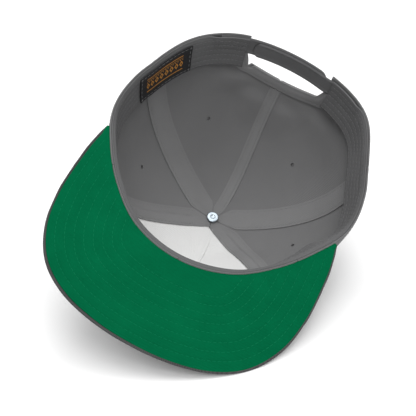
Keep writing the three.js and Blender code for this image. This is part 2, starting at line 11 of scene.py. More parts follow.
import bmesh
import bpy
import numpy as np
from bpy.props import FloatProperty, FloatVectorProperty, IntProperty, PointerProperty
from mathutils import Matrix, Vector
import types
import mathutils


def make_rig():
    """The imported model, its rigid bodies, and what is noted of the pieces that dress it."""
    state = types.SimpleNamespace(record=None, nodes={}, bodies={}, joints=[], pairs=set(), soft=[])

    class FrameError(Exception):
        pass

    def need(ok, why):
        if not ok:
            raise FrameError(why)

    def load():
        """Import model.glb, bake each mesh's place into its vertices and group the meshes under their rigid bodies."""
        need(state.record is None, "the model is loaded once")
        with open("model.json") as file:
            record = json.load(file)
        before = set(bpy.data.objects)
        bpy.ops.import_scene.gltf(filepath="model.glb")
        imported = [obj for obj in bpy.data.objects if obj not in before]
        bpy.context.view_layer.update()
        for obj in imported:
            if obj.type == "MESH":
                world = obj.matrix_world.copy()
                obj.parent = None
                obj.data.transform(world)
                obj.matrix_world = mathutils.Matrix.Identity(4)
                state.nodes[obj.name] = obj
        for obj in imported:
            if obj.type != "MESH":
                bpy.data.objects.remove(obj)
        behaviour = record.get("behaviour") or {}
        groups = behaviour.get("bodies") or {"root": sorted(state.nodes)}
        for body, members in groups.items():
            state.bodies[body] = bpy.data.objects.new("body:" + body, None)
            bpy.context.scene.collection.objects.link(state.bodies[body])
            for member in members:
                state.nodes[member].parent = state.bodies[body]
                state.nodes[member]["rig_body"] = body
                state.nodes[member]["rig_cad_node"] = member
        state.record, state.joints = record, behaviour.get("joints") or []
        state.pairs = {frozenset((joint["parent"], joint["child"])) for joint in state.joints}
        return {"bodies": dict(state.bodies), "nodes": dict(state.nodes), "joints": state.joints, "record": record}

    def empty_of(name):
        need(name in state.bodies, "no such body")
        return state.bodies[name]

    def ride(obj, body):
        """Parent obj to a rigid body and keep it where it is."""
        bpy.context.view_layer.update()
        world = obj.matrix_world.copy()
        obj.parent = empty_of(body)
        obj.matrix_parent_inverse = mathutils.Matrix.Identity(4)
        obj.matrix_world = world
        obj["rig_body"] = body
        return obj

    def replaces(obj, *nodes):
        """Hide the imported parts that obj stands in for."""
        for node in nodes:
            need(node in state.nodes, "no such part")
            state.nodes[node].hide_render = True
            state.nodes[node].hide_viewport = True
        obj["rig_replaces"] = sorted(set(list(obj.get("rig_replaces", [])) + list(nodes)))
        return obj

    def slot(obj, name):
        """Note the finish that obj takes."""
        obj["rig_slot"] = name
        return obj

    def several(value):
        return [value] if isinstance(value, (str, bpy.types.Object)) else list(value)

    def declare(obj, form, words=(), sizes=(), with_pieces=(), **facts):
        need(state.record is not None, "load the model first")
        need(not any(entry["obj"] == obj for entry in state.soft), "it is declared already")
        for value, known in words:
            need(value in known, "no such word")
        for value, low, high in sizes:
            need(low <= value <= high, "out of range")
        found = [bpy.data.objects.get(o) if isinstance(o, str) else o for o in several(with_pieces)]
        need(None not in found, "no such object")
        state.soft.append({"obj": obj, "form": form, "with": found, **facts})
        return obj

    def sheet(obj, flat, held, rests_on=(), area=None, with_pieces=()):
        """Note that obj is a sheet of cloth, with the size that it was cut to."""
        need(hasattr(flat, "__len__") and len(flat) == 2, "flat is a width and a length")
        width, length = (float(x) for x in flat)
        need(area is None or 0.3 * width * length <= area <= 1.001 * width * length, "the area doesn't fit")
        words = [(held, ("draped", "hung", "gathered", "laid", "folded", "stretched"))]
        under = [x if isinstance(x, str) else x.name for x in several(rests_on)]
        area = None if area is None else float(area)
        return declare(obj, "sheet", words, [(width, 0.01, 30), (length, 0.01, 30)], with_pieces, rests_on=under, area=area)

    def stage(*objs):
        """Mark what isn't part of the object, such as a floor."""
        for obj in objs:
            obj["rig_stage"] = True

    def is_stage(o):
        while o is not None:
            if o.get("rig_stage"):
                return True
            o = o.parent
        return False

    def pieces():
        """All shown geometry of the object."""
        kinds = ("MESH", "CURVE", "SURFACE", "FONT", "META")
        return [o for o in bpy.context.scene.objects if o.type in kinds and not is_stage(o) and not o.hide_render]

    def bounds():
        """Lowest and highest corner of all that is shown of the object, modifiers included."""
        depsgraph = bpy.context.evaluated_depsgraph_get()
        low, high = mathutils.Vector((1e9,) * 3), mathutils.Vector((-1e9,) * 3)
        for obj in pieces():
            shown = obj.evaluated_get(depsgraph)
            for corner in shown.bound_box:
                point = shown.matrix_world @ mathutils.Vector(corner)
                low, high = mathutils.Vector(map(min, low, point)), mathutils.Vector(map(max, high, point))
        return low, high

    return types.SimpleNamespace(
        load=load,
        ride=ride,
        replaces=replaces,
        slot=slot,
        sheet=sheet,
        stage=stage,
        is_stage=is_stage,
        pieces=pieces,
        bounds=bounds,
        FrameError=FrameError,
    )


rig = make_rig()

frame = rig.load()
CAD_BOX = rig.bounds()

bl_info = {
    "name": "Flat Bill Cap",
    "version": (1, 0, 0),
    "blender": (4, 5, 0),
    "location": "View3D > Sidebar > Cap",
    "description": "Makes the cloth, strap and stitching of a flat bill cap on its packed frame",
    "category": "Add Mesh",
}

BODY = "root"
MM = 0.001


def table(columns, *rows):
    """A list with a dictionary for each row, keyed by the names of the columns."""
    return [dict(zip(columns.split(), row)) for row in rows]


# Rim of the crown, as in the CAD: distance from the middle of the head at each turn from the front.
RIM_STEP = 20.0
RIM_LEFT = (95.2, 93.2, 87.8, 85.9, 88.5, 88.6, 88.8, 93.0, 99.0, 100.4)
RIM_RIGHT = (95.2, 92.8, 87.3, 85.4, 88.6, 88.5, 89.1, 96.5, 99.6, 100.4)
RIM_ROUND = np.array(RIM_RIGHT[:0:-1] + RIM_LEFT[:-1])
RIM_DIP = 6.4
RIM_LEVEL_FROM, RIM_LEVEL_TO, RIM_FOLLOWS_BILL_TO = 30.0, 105.5, 55.0
TOP = np.array([0.0, 2.7, 95.0])
SWELL = 2.3
TOP_HOLE_RISE = 0.986

# Turn of each seam at the rim, half way up and at the top.
SEAMS = {
    "back_right": (-114.0, -115.8, -120.5),
    "front_right": (-50.0, -55.5, -69.5),
    "front": (0.0, -3.5, -12.0),
    "front_left": (50.0, 55.2, 65.5),
    "back_left": (113.5, 118.8, 124.5),
    "back": (180.0, 178.5, 186.0),
}
SEAM_GAP = 0.15
CLOTH_LENGTH = 146.0

# Bill, as in the CAD: reach of its edge at equal steps of turn from the front to either end.
BILL_REACH = np.array([158.3, 158.2, 156.6, 151.1, 139.3, 123.3, 108.6, 97.8, 88.8])
BILL_END_TURN = 70.7
BILL_PITCH, BILL_PITCH_FROM, BILL_DISH, BILL_DISH_HALF = 3.0, 30.0, 6.0, 85.0
# At equal steps of turn from the right end to the left: how much shorter the cloth's edge is than the CAD's,
# and how far inside that edge the under cloth ends.
BILL_TRIM = np.array([-0.3, -0.9, -0.9, -0.1, 0.2, 0.9, 0.9, 0.9, 0.4, 0.1, -0.7, -0.7, -0.3])
UNDER_INSET = np.array([1.7, 1.7, 1.7, 1.5, 1.0, 1.0, 1.4, 1.7, 1.7, 1.9, 2.5, 2.7, 2.7])

# How the worn cap lies: tipped over its front, leant, turned to face -Y, and moved to stand over the origin.
LIE_TIP, LIE_LEAN, LIE_TURN = 152.31, -23.32, -168.2639552735399
LIE_MOVE = np.array([7.387300027173147, 20.971837069322554, 91.29362078762156])
PRESS_SOFTNESS = 1.5
LIE = np.array(
    Matrix.Rotation(math.radians(LIE_TURN), 3, "Z")
    @ Matrix.Rotation(math.radians(LIE_LEAN), 3, "Y")
    @ Matrix.Rotation(math.radians(LIE_TIP), 3, "X")
)
UP = LIE[2]
FLOOR = -LIE_MOVE[2]


# Numbers and places on the cap

def place(points):
    """Worn millimetres to the row frame's metres."""
    return (np.asarray(points, float) @ LIE.T + LIE_MOVE) * MM


def smoothstep(value, start, end):
    share = np.clip((np.asarray(value, float) - start) / (end - start), 0, 1)
    return share * share * (3 - 2 * share)


def hump(value, middle, half):
    """1 at the middle, and 0 from half its width to either side, smoothly."""
    return 0.5 + 0.5 * np.cos(np.pi * np.clip((np.asarray(value, float) - middle) / half, -1, 1))


def bell(distance, wide):
    """1 at no distance, falling off smoothly over a width."""
    return np.exp(-((distance / wide) ** 2))


def between(a, b, c, d, share):
    """A smooth curve from b to c, at a share of the way, with a before them and d after."""
    bend = 2 * a - 5 * b + 4 * c - d + share * (3 * (b - c) + d - a)
    return b + 0.5 * share * (c - a + share * bend)


def spline(values, share):
    """A smooth value from a table of equal steps, at a share of its length."""
    steps = np.clip(share * (len(values) - 1), 0, len(values) - 1 - 1e-6)
    first = np.floor(steps).astype(int)
    padded = np.concatenate([values[:1], values, values[-1:]])
    a, b, c, d = (padded[first + shift] for shift in range(4))
    return between(a, b, c, d, steps - first)


def rim_radius(turn):
    steps = (np.asarray(turn, float) + 180) / RIM_STEP
    first = np.floor(steps).astype(int)
    a, b, c, d = (RIM_ROUND[(first + shift) % len(RIM_ROUND)] for shift in (-1, 0, 1, 2))
    return between(a, b, c, d, steps - first)


def bill_height(x, y):
    dish = BILL_DISH * ((x / BILL_DISH_HALF) ** 2 - 1)
    return math.tan(math.radians(BILL_PITCH)) * (BILL_PITCH_FROM - y) + dish


def rim_point(turn):
    angle, radius = np.radians(turn), rim_radius(turn)
    x, y = radius * np.sin(angle), -radius * np.cos(angle)
    share = np.clip((y - RIM_LEVEL_FROM) / (RIM_LEVEL_TO - RIM_LEVEL_FROM), 0, 1)
    following = 1 - smoothstep(y, RIM_LEVEL_FROM, RIM_LEVEL_TO)
    at_bill = bill_height(x, np.minimum(y, RIM_FOLLOWS_BILL_TO)) * following
    return np.stack([x, y, at_bill - RIM_DIP * np.sin(np.pi * share)], -1)


def free_crown(turn, rise):
    """A place on the outer face of the crown, as if nothing pressed it."""
    turn, rise = np.broadcast_arrays(np.asarray(turn, float), np.asarray(rise, float))
    rim, angle = rim_point(turn), rise * np.pi / 2
    across = np.maximum(np.cos(angle), 0)[..., None] ** (2 / SWELL)
    along = np.maximum(np.sin(angle), 0) ** (2 / SWELL)
    flat = TOP[:2] + (rim[..., :2] - TOP[:2]) * across
    height = rim[..., 2] + (TOP[2] - rim[..., 2]) * along
    return np.concatenate([flat, height[..., None]], -1)


def crown_point(turn, rise, depth):
    """A place on the crown, pressed up where it would sink into the floor, with the layers over it."""
    near = 1e-3
    point = free_crown(turn, rise)
    aside = free_crown(turn + near, rise) - free_crown(turn - near, rise)
    upward = free_crown(turn, rise + near) - free_crown(turn, rise - near)
    outward = np.cross(aside, upward)
    outward /= np.linalg.norm(outward, axis=-1, keepdims=True)
    sunk = FLOOR - point @ UP
    pressed = (sunk + np.hypot(sunk, PRESS_SOFTNESS)) / 2
    inward = -outward * np.broadcast_to(depth, point.shape[:-1])[..., None]
    return point + pressed[..., None] * UP + inward


UP_STEPS = np.linspace(0, 0.98, 246)


def up_table(turn):
    walk = np.linalg.norm(np.diff(free_crown(turn, UP_STEPS), axis=0), axis=1)
    return np.concatenate([[0], np.cumsum(walk)])


def rise_at(turn, up):
    """Rise of each place that lies some millimetres up the cloth; a column of one turn is worked out once."""
    turn, up = np.broadcast_arrays(np.asarray(turn, float), np.asarray(up, float))
    result = np.empty(turn.shape)
    for one in np.unique(turn):
        same = turn == one
        result[same] = np.interp(up[same], up_table(one), UP_STEPS)
    return result


def up_at(turn, rise):
    """Millimetres up the cloth of each place, to the nearest degree of turn."""
    turn, rise = np.broadcast_arrays(np.asarray(turn, float), np.asarray(rise, float))
    coarse = np.round(turn)
    result = np.empty(turn.shape)
    for one in np.unique(coarse):
        same = coarse == one
        result[same] = np.interp(rise[same], UP_STEPS, up_table(one))
    return result


def crown_at(turn, up, depth):
    """A place on the crown, some millimetres up the cloth."""
    return crown_point(turn, rise_at(turn, up), depth)


def ring_radius(turn, rise):
    point = free_crown(turn, rise)
    return np.hypot(point[..., 0] - TOP[0], point[..., 1] - TOP[1])


def turn_of(millimetres, turn, rise):
    return np.degrees(millimetres / ring_radius(turn, rise))


def seam_turn(seam, rise):
    rim, half, top = SEAMS[seam]
    bend = 2 * (rim + top - 2 * half)
    return rim + (top - rim - bend) * rise + bend * rise * rise


# Meshes

def new_piece(name, mesh, material, slot, replaces=()):
    piece = bpy.data.objects.new(name, mesh)
    bpy.context.scene.collection.objects.link(piece)
    if material is not None:
        mesh.materials.clear()
        mesh.materials.append(material)
    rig.ride(piece, BODY)
    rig.slot(piece, slot)
    if replaces:
        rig.replaces(piece, *replaces)
    return piece


def mesh_of(name, points, faces, uv, worn=None, crease=50.0):
    """A smooth mesh in the row frame, with a UV for each point in metres and an optional "worn" value, which marks the
    edges that take wear on some cloths and painted shade on others.
    """
    mesh = bpy.data.meshes.new(name)
    mesh.from_pydata(points.tolist(), [], faces)
    corners = np.empty(len(mesh.loops), np.int32)
    mesh.loops.foreach_get("vertex_index", corners)
    layer = mesh.uv_layers.new(name="cloth")
    layer.data.foreach_set("uv", np.asarray(uv, np.float32)[corners].ravel())
    values = np.zeros(len(points), np.float32) if worn is None else np.asarray(worn, np.float32)
    # The "worn" value marks edges for a tone that is wear on some cloths and painted shade on others.
    mesh.attributes.new("worn", "FLOAT", "POINT").data.foreach_set("value", values)
    mesh.shade_smooth()
    mesh.set_sharp_from_angle(angle=math.radians(crease))
    mesh.validate()
    mesh.update()
    return mesh


def facing_out(points, faces):
    """The faces, turned round if the closed mesh that they make is inside out."""
    quads = np.array([face for face in faces if len(face) == 4])
    a, b, c, d = (points[quads[:, k]] for k in range(4))
    volume = np.einsum("ij,ij->i", a, np.cross(b, c)) + np.einsum("ij,ij->i", a, np.cross(c, d))
    return [face[::-1] for face in faces] if volume.sum() < 0 else faces


# Flat width, length and area of each wall, and the surface of its mesh, in metres.
FLAT = {}


def note_flat(name, middle, mesh):
    along = np.linalg.norm(np.diff(middle, axis=0), axis=-1)
    across = np.linalg.norm(np.diff(middle, axis=1), axis=-1)
    diagonals = np.cross(middle[1:, 1:] - middle[:-1, :-1], middle[:-1, 1:] - middle[1:, :-1])
    FLAT[name] = {
        "width": along.sum(0).max() * MM, "length": across.sum(1).max() * MM,
        "area": np.linalg.norm(diagonals, axis=-1).sum() / 2 * MM * MM,
        "surface": sum(face.area for face in mesh.polygons),
    }


def wall(name, outer, inner, uv, rounding=0.5, crease=50.0, worn_foot=1.0, faces_wear_and_shade=0.0):
    """A closed sheet between two grids [column, row, xyz] in worn millimetres, with rounded foot and head edges.

    uv is a grid of millimetres along and up the cloth. rounding is the bulge of the edges as a share of the thickness.
    faces_wear_and_shade is how much both faces carry the edge mark, as a number or a grid, and worn_foot how much the
    foot edge does; the head edge carries it fully. The mark lightens edges as wear on some cloths and darkens them as
    painted shade on others."""
    columns, rows = outer.shape[:2]

    def edge(row, inward):
        middle = (outer[:, row] + inner[:, row]) / 2
        away = outer[:, row] - outer[:, row + inward]
        away /= np.maximum(np.linalg.norm(away, axis=-1, keepdims=True), 1e-9)
        across = (outer[:, row] - inner[:, row]) / 2
        bulge = away * np.linalg.norm(across, axis=-1, keepdims=True) * 2 * rounding
        return [middle + across * math.cos(a) + bulge * math.sin(a) for a in np.radians([45.0, 90.0, 135.0])]

    head = np.stack(edge(rows - 1, -1), 1)
    foot = np.stack(edge(0, 1)[::-1], 1)
    loop = np.concatenate([outer, head, inner[:, ::-1], foot], 1)
    count = loop.shape[1]
    spots = np.concatenate([uv, uv[:, -1:].repeat(3, 1), uv[:, ::-1], uv[:, :1].repeat(3, 1)], 1)
    worn = np.ones((columns, count))
    worn[:, -3:] = worn_foot
    worn[:, :rows] = faces_wear_and_shade
    worn[:, rows + 3:-3] = worn[:, rows - 1::-1]
    at = np.arange(columns * count).reshape(columns, count)
    after = np.roll(at, -1, 1)
    faces = np.stack([at[:-1], at[1:], after[1:], after[:-1]], -1).reshape(-1, 4).tolist()
    for column in (0, -1):
        ring = at[column].tolist()
        ends = [ring[rows - 1:rows + 4], [*ring[-4:], ring[0]]]
        ladder = [[ring[j], ring[j + 1], ring[2 * rows + 1 - j], ring[2 * rows + 2 - j]]
                  for j in range(rows - 1)]
        faces += [face if column == 0 else face[::-1] for face in ends + ladder]
    points = place(loop.reshape(-1, 3))
    mesh = mesh_of(name, points, facing_out(points, faces), spots.reshape(-1, 2) * MM, worn.ravel(), crease)
    note_flat(name, (outer + inner) / 2, mesh)
    return mesh


def crown_wall(name, turn, rise, outer, inner):
    """A wall that follows the crown, from grids of turn and rise and the depths of its two faces."""
    along = np.radians(turn - float(np.mean(turn))) * ring_radius(turn, rise)
    uv = np.stack([along, up_at(turn, rise)], -1)
    return wall(name, crown_point(turn, rise, outer), crown_point(turn, rise, inner), uv)


def band_wall(name, turns, rows, outer, inner, **options):
    """A wall along the crown, at a list of turns; rows gives each one's heights up from the rim."""
    up = rows if np.ndim(rows) == 2 else np.broadcast_to(rows, (len(turns), len(rows)))
    turn = np.broadcast_to(np.asarray(turns, float)[:, None], up.shape)
    rise = rise_at(turn, up)
    uv = np.stack([np.radians(turn - np.mean(turns)) * rim_radius(turn), up], -1)
    faces = [crown_point(turn, rise, depth(turn, up)) for depth in (outer, inner)]
    return wall(name, *faces, uv, **options)


def cut(mesh, cutters):
    """Takes closed solids out of a mesh."""
    body = bpy.data.objects.new("cut_body", mesh)
    bpy.context.scene.collection.objects.link(body)
    tools = []
    for solid in cutters:
        tool = bpy.data.objects.new("cut_tool", solid)
        bpy.context.scene.collection.objects.link(tool)
        modifier = body.modifiers.new("cut", "BOOLEAN")
        modifier.operation, modifier.solver, modifier.object = "DIFFERENCE", "MANIFOLD", tool
        tools.append(tool)
    bpy.context.view_layer.update()
    result = bpy.data.meshes.new_from_object(body.evaluated_get(bpy.context.evaluated_depsgraph_get()))
    for thing in [body, *tools]:
        bpy.data.objects.remove(thing)
    if len(result.polygons) < 0.5 * len(mesh.polygons):
        raise RuntimeError(f"{mesh.name}: the cut lost most of the cloth")
    result.name = mesh.name
    result.set_sharp_from_angle(angle=math.radians(50))
    return result


def plug(turn, up, radius, start_depth, end_depth, sides=32):
    """A round solid square to the cloth, between two depths, in the row frame."""
    start, end = (place(crown_at(np.array([turn]), up, depth))[0] for depth in (start_depth, end_depth))
    axis = Vector(end - start)
    mesh = bpy.data.meshes.new("plug")
    shape = bmesh.new()
    bmesh.ops.create_cone(shape, cap_ends=True, segments=sides, radius1=radius * MM, radius2=radius * MM,
                          depth=axis.length)
    turned_to = axis.to_track_quat("Z", "Y").to_matrix().to_4x4()
    shape.transform(Matrix.Translation((start + end) / 2) @ turned_to)
    shape.to_mesh(mesh)
    shape.free()
    return mesh


def turned(name, profile, segments, relief=None):
    """A round piece at the top, about the crown's axis, from a profile of radius and height that starts and
    ends on it."""
    profile = np.asarray(profile, float)
    angles = np.linspace(0, 2 * np.pi, segments, endpoint=False)
    radius, height = profile[1:-1, 0], profile[1:-1, 1]
    rows = len(radius)
    lift = np.zeros((segments, rows)) if relief is None else relief(angles[:, None], radius[None, :])
    ring = np.stack([radius * np.cos(angles)[:, None], radius * np.sin(angles)[:, None], height + lift], -1)
    points = np.concatenate([ring.reshape(-1, 3), [[0, 0, profile[0, 1]], [0, 0, profile[-1, 1]]]])
    at = np.arange(segments * rows).reshape(segments, rows)
    after = np.roll(at, -1, 0)
    faces = np.stack([at[:, :-1], after[:, :-1], after[:, 1:], at[:, 1:]], -1).reshape(-1, 4).tolist()
    first, last = segments * rows, segments * rows + 1
    for k in range(segments):
        faces.append([int(after[k, 0]), int(at[k, 0]), first])
        faces.append([int(at[k, -1]), int(after[k, -1]), last])
    made = place(points + TOP)
    return mesh_of(name, made, facing_out(made, faces), points[:, :2] * MM, crease=35)


# Node trees

FLOAT, COLOUR, VECTOR = "NodeSocketFloat", "NodeSocketColor", "NodeSocketVector"
GREY = (0.5, 0.5, 0.5, 1)


def add(tree, kind, inputs=None, **settings):
    """A node with its settings, and a value or a link for each named or numbered input."""
    node = tree.nodes.new(kind)
    for name, value in settings.items():
        setattr(node, name, value)
    for key, value in (inputs or {}).items():
        if isinstance(value, bpy.types.NodeSocket):
            tree.links.new(value, node.inputs[key])
        else:
            node.inputs[key].default_value = value
    return node


def calc(tree, operation, *values):
    return add(tree, "ShaderNodeMath", dict(enumerate(values)), operation=operation).outputs[0]


def noise(tree, vector, scale, detail, **more):
    inputs = {"Vector": vector, "Scale": scale, "Detail": detail, **more}
    return add(tree, "ShaderNodeTexNoise", inputs).outputs["Fac"]


def scaled(tree, vector, factor):
    return add(tree, "ShaderNodeVectorMath", {0: vector, "Scale": factor}, operation="SCALE").outputs[0]


def bumped(tree, height, strength, millimetres):
    inputs = {"Strength": strength, "Distance": millimetres * MM, "Height": height}
    return add(tree, "ShaderNodeBump", inputs).outputs[0]


def blend_colour(tree, share, first, second):
    return add(tree, "ShaderNodeMix", {0: share, 6: first, 7: second}, data_type="RGBA").outputs[2]


def shade(colour, factor=1.0):
    """A colour made lighter or darker, with its alpha."""
    return (*[min(1, part * factor) for part in colour], 1)


def new_tree(name, kind, inputs, outputs):
    """A node tree with its named sockets, and its input and output nodes."""
    tree = bpy.data.node_groups.new(name, kind)
    for label, socket_kind, value in inputs:
        socket = tree.interface.new_socket(label, in_out="INPUT", socket_type=socket_kind)
        if value is not None:
            socket.default_value = value
    for label, socket_kind in outputs:
        tree.interface.new_socket(label, in_out="OUTPUT", socket_type=socket_kind)
    return tree, add(tree, "NodeGroupInput").outputs, add(tree, "NodeGroupOutput").inputs


def weave_group():
    """Threads of a cloth, from plain weave to twill, in metres of the piece's own UV map."""
    tree, given, out = new_tree(
        "woven_threads", "ShaderNodeTree",
        [("Cloth", VECTOR, None), ("Thread", FLOAT, 0.0006), ("Twill", FLOAT, 1.0), ("Slub", FLOAT, 0.4)],
        [("Height", FLOAT), ("Tone", FLOAT)],
    )
    cloth = scaled(tree, given["Cloth"], calc(tree, "DIVIDE", 1.0, given["Thread"]))
    drift = calc(tree, "MULTIPLY", noise(tree, cloth, 0.06, 2.0), given["Slub"])
    split = add(tree, "ShaderNodeSeparateXYZ", {0: cloth}).outputs
    along, up = (calc(tree, "ADD", split[axis], drift) for axis in (0, 1))

    def waves(value, turns):
        return calc(tree, "SINE", calc(tree, "MULTIPLY", value, turns * math.pi))

    plain = calc(tree, "MULTIPLY_ADD", calc(tree, "MULTIPLY", waves(along, 1), waves(up, 1)), 0.5, 0.5)
    steps = calc(tree, "MULTIPLY_ADD", waves(along, 2), 0.18, 0.5)
    twill = calc(tree, "MULTIPLY_ADD", waves(calc(tree, "ADD", along, up), 1), 0.34, steps)
    mixed = add(tree, "ShaderNodeMix", {0: given["Twill"], 2: plain, 3: twill}, data_type="FLOAT").outputs[0]
    height = calc(tree, "MULTIPLY_ADD", noise(tree, cloth, 0.9, 3.0), 0.35, mixed)
    tree.links.new(height, out["Height"])
    tree.links.new(calc(tree, "MULTIPLY_ADD", height, 0.6, 0.62), out["Tone"])
    return tree


def mottle_group():
    """Slow changes of tone over a cloth: handling marks and pressed folds, and a tone along the marked edges, lighter
    where its share is positive, as fading by wear, and darker where it is negative, as painted shade.
    """
    tree, given, out = new_tree(
        "cloth_mottle", "ShaderNodeTree",
        [("Place", VECTOR, None), ("Colour", COLOUR, GREY), ("Tone", FLOAT, 1.0), ("Weave", FLOAT, 0.3),
         ("Mottle", FLOAT, 0.1), ("Patch", FLOAT, 30.0), ("Worn", FLOAT, 0.0), ("Fade", FLOAT, 0.15)],
        [("Color", COLOUR), ("Marks", FLOAT)],
    )
    slow = noise(tree, given["Place"], given["Patch"], 4.0, Roughness=0.6)
    specks = noise(tree, given["Place"], 900.0, 2.0)
    patches = calc(tree, "MULTIPLY", calc(tree, "SUBTRACT", slow, 0.5), 4.0)
    marks = calc(tree, "ADD", patches, calc(tree, "SUBTRACT", specks, 0.5))
    factor = calc(tree, "MULTIPLY_ADD", marks, given["Mottle"], 1.0)
    factor = calc(tree, "MULTIPLY_ADD", calc(tree, "SUBTRACT", given["Tone"], 1.0), given["Weave"], factor)
    factor = calc(tree, "MULTIPLY_ADD", given["Worn"], given["Fade"], factor)
    tree.links.new(scaled(tree, given["Colour"], calc(tree, "MAXIMUM", factor, 0.05)), out["Color"])
    tree.links.new(slow, out["Marks"])
    return tree


def grain_group():
    """Fine moulded grain and handling marks of the strap's plastic."""
    tree, given, out = new_tree(
        "moulded_grain", "ShaderNodeTree",
        [("Place", VECTOR, None), ("Colour", COLOUR, GREY), ("Marks", FLOAT, 0.1)],
        [("Color", COLOUR), ("Roughness", FLOAT), ("Height", FLOAT)],
    )
    smears = noise(tree, given["Place"], 90.0, 5.0, Distortion=0.6)
    factor = calc(tree, "MULTIPLY_ADD", calc(tree, "SUBTRACT", smears, 0.5), given["Marks"], 1.0)
    tree.links.new(scaled(tree, given["Colour"], factor), out["Color"])
    tree.links.new(calc(tree, "MULTIPLY_ADD", smears, 0.25, 0.45), out["Roughness"])
    tree.links.new(noise(tree, given["Place"], 2600.0, 2.0), out["Height"])
    return tree


def group_node(tree, name, maker, inputs):
    """A node for a group that is built once and used by every material that needs it."""
    shared = bpy.data.node_groups.get(name) or maker()
    return add(tree, "ShaderNodeGroup", inputs, node_tree=shared).outputs


def new_material(name):
    """An empty material's tree, with the object's own coordinates and the cloth's UV map."""
    material = bpy.data.materials.new(name)
    material.use_nodes = True
    tree = material.node_tree
    tree.nodes.clear()
    spot = add(tree, "ShaderNodeTexCoord").outputs["Object"]
    return material, tree, spot, add(tree, "ShaderNodeUVMap", uv_map="cloth").outputs[0]


def finish_material(tree, inputs):
    shader = add(tree, "ShaderNodeBsdfPrincipled", inputs)
    add(tree, "ShaderNodeOutputMaterial", {"Surface": shader.outputs[0]})


# fade is the tone along the edges that the "worn" attribute marks: a positive share lightens them as wear, a negative
# share darkens them, which the sweatband and the bill use as painted shade.
def cloth_material(name, colour, thread=0.6, twill=1.0, relief=0.25, mottle=0.08, patch=30.0, fade=0.12,
                   weave=0.35, specular=0.12):
    """Woven cloth. thread and relief are in millimetres."""
    material, tree, spot, cloth = new_material(name)
    worn = add(tree, "ShaderNodeAttribute", attribute_name="worn").outputs["Fac"]
    threads = group_node(tree, "woven_threads", weave_group, {
        "Cloth": cloth, "Thread": thread * MM, "Twill": twill})
    tone = group_node(tree, "cloth_mottle", mottle_group, {
        "Place": spot, "Tone": threads["Tone"], "Worn": worn, "Colour": shade(colour), "Weave": weave,
        "Mottle": mottle, "Patch": patch, "Fade": fade})
    finish_material(tree, {
        "Base Color": tone["Color"], "Roughness": calc(tree, "MULTIPLY_ADD", tone["Marks"], 0.12, 0.84),
        "Normal": bumped(tree, threads["Height"], 0.6, relief), "Specular IOR Level": specular})
    return material


def thread_material(name, colour, specular=0.35):
    """Twisted sewing thread."""
    material, tree, spot, _ = new_material(name)
    twist = noise(tree, spot, 2400.0, 1.0)
    finish_material(tree, {
        "Base Color": blend_colour(tree, twist, shade(colour, 0.8), shade(colour, 1.2)),
        "Roughness": calc(tree, "MULTIPLY_ADD", twist, 0.2, 0.5), "Normal": bumped(tree, twist, 0.5, 0.05),
        "Specular IOR Level": specular})
    return material


def plastic_material(name, colour):
    """Moulded plastic with a fine grain."""
    material, tree, spot, _ = new_material(name)
    grain = group_node(tree, "moulded_grain", grain_group, {
        "Place": spot, "Colour": shade(colour), "Marks": 0.25})
    finish_material(tree, {
        "Base Color": grain["Color"], "Roughness": grain["Roughness"],
        "Normal": bumped(tree, grain["Height"], 0.25, 0.05), "Specular IOR Level": 0.2})
    return material


def metal_material(name, colour):
    """Pressed and plated sheet metal, with fine marks and a little dulling."""
    material, tree, spot, _ = new_material(name)
    marks, dull = noise(tree, spot, 700.0, 5.0), noise(tree, spot, 220.0, 2.0)
    finish_material(tree, {
        "Base Color": blend_colour(tree, dull, shade(colour, 0.82), shade(colour, 1.08)), "Metallic": 0.85,
        "Roughness": calc(tree, "MULTIPLY_ADD", marks, 0.2, 0.2), "Normal": bumped(tree, marks, 0.2, 0.03)})
    return material


def material_of(name, maker, *values, **options):
    """A material that is made once and shared by the pieces that name it."""
    return bpy.data.materials.get("cap_" + name) or maker("cap_" + name, *values, **options)


def grey_thread():
    return material_of("grey_thread", thread_material, bpy.context.scene.cap_sewing.thread)


# Stitches and pegs, as Geometry Nodes

GEOMETRY, MATERIAL = "NodeSocketGeometry", "NodeSocketMaterial"


def end_tool(tree, instances, material, out):
    real = add(tree, "GeometryNodeRealizeInstances", {0: instances}).outputs[0]
    smooth = add(tree, "GeometryNodeSetShadeSmooth", {"Geometry": real}).outputs[0]
    painted = add(tree, "GeometryNodeSetMaterial", {"Geometry": smooth, "Material": material}).outputs[0]
    tree.links.new(painted, out[0])
    return tree


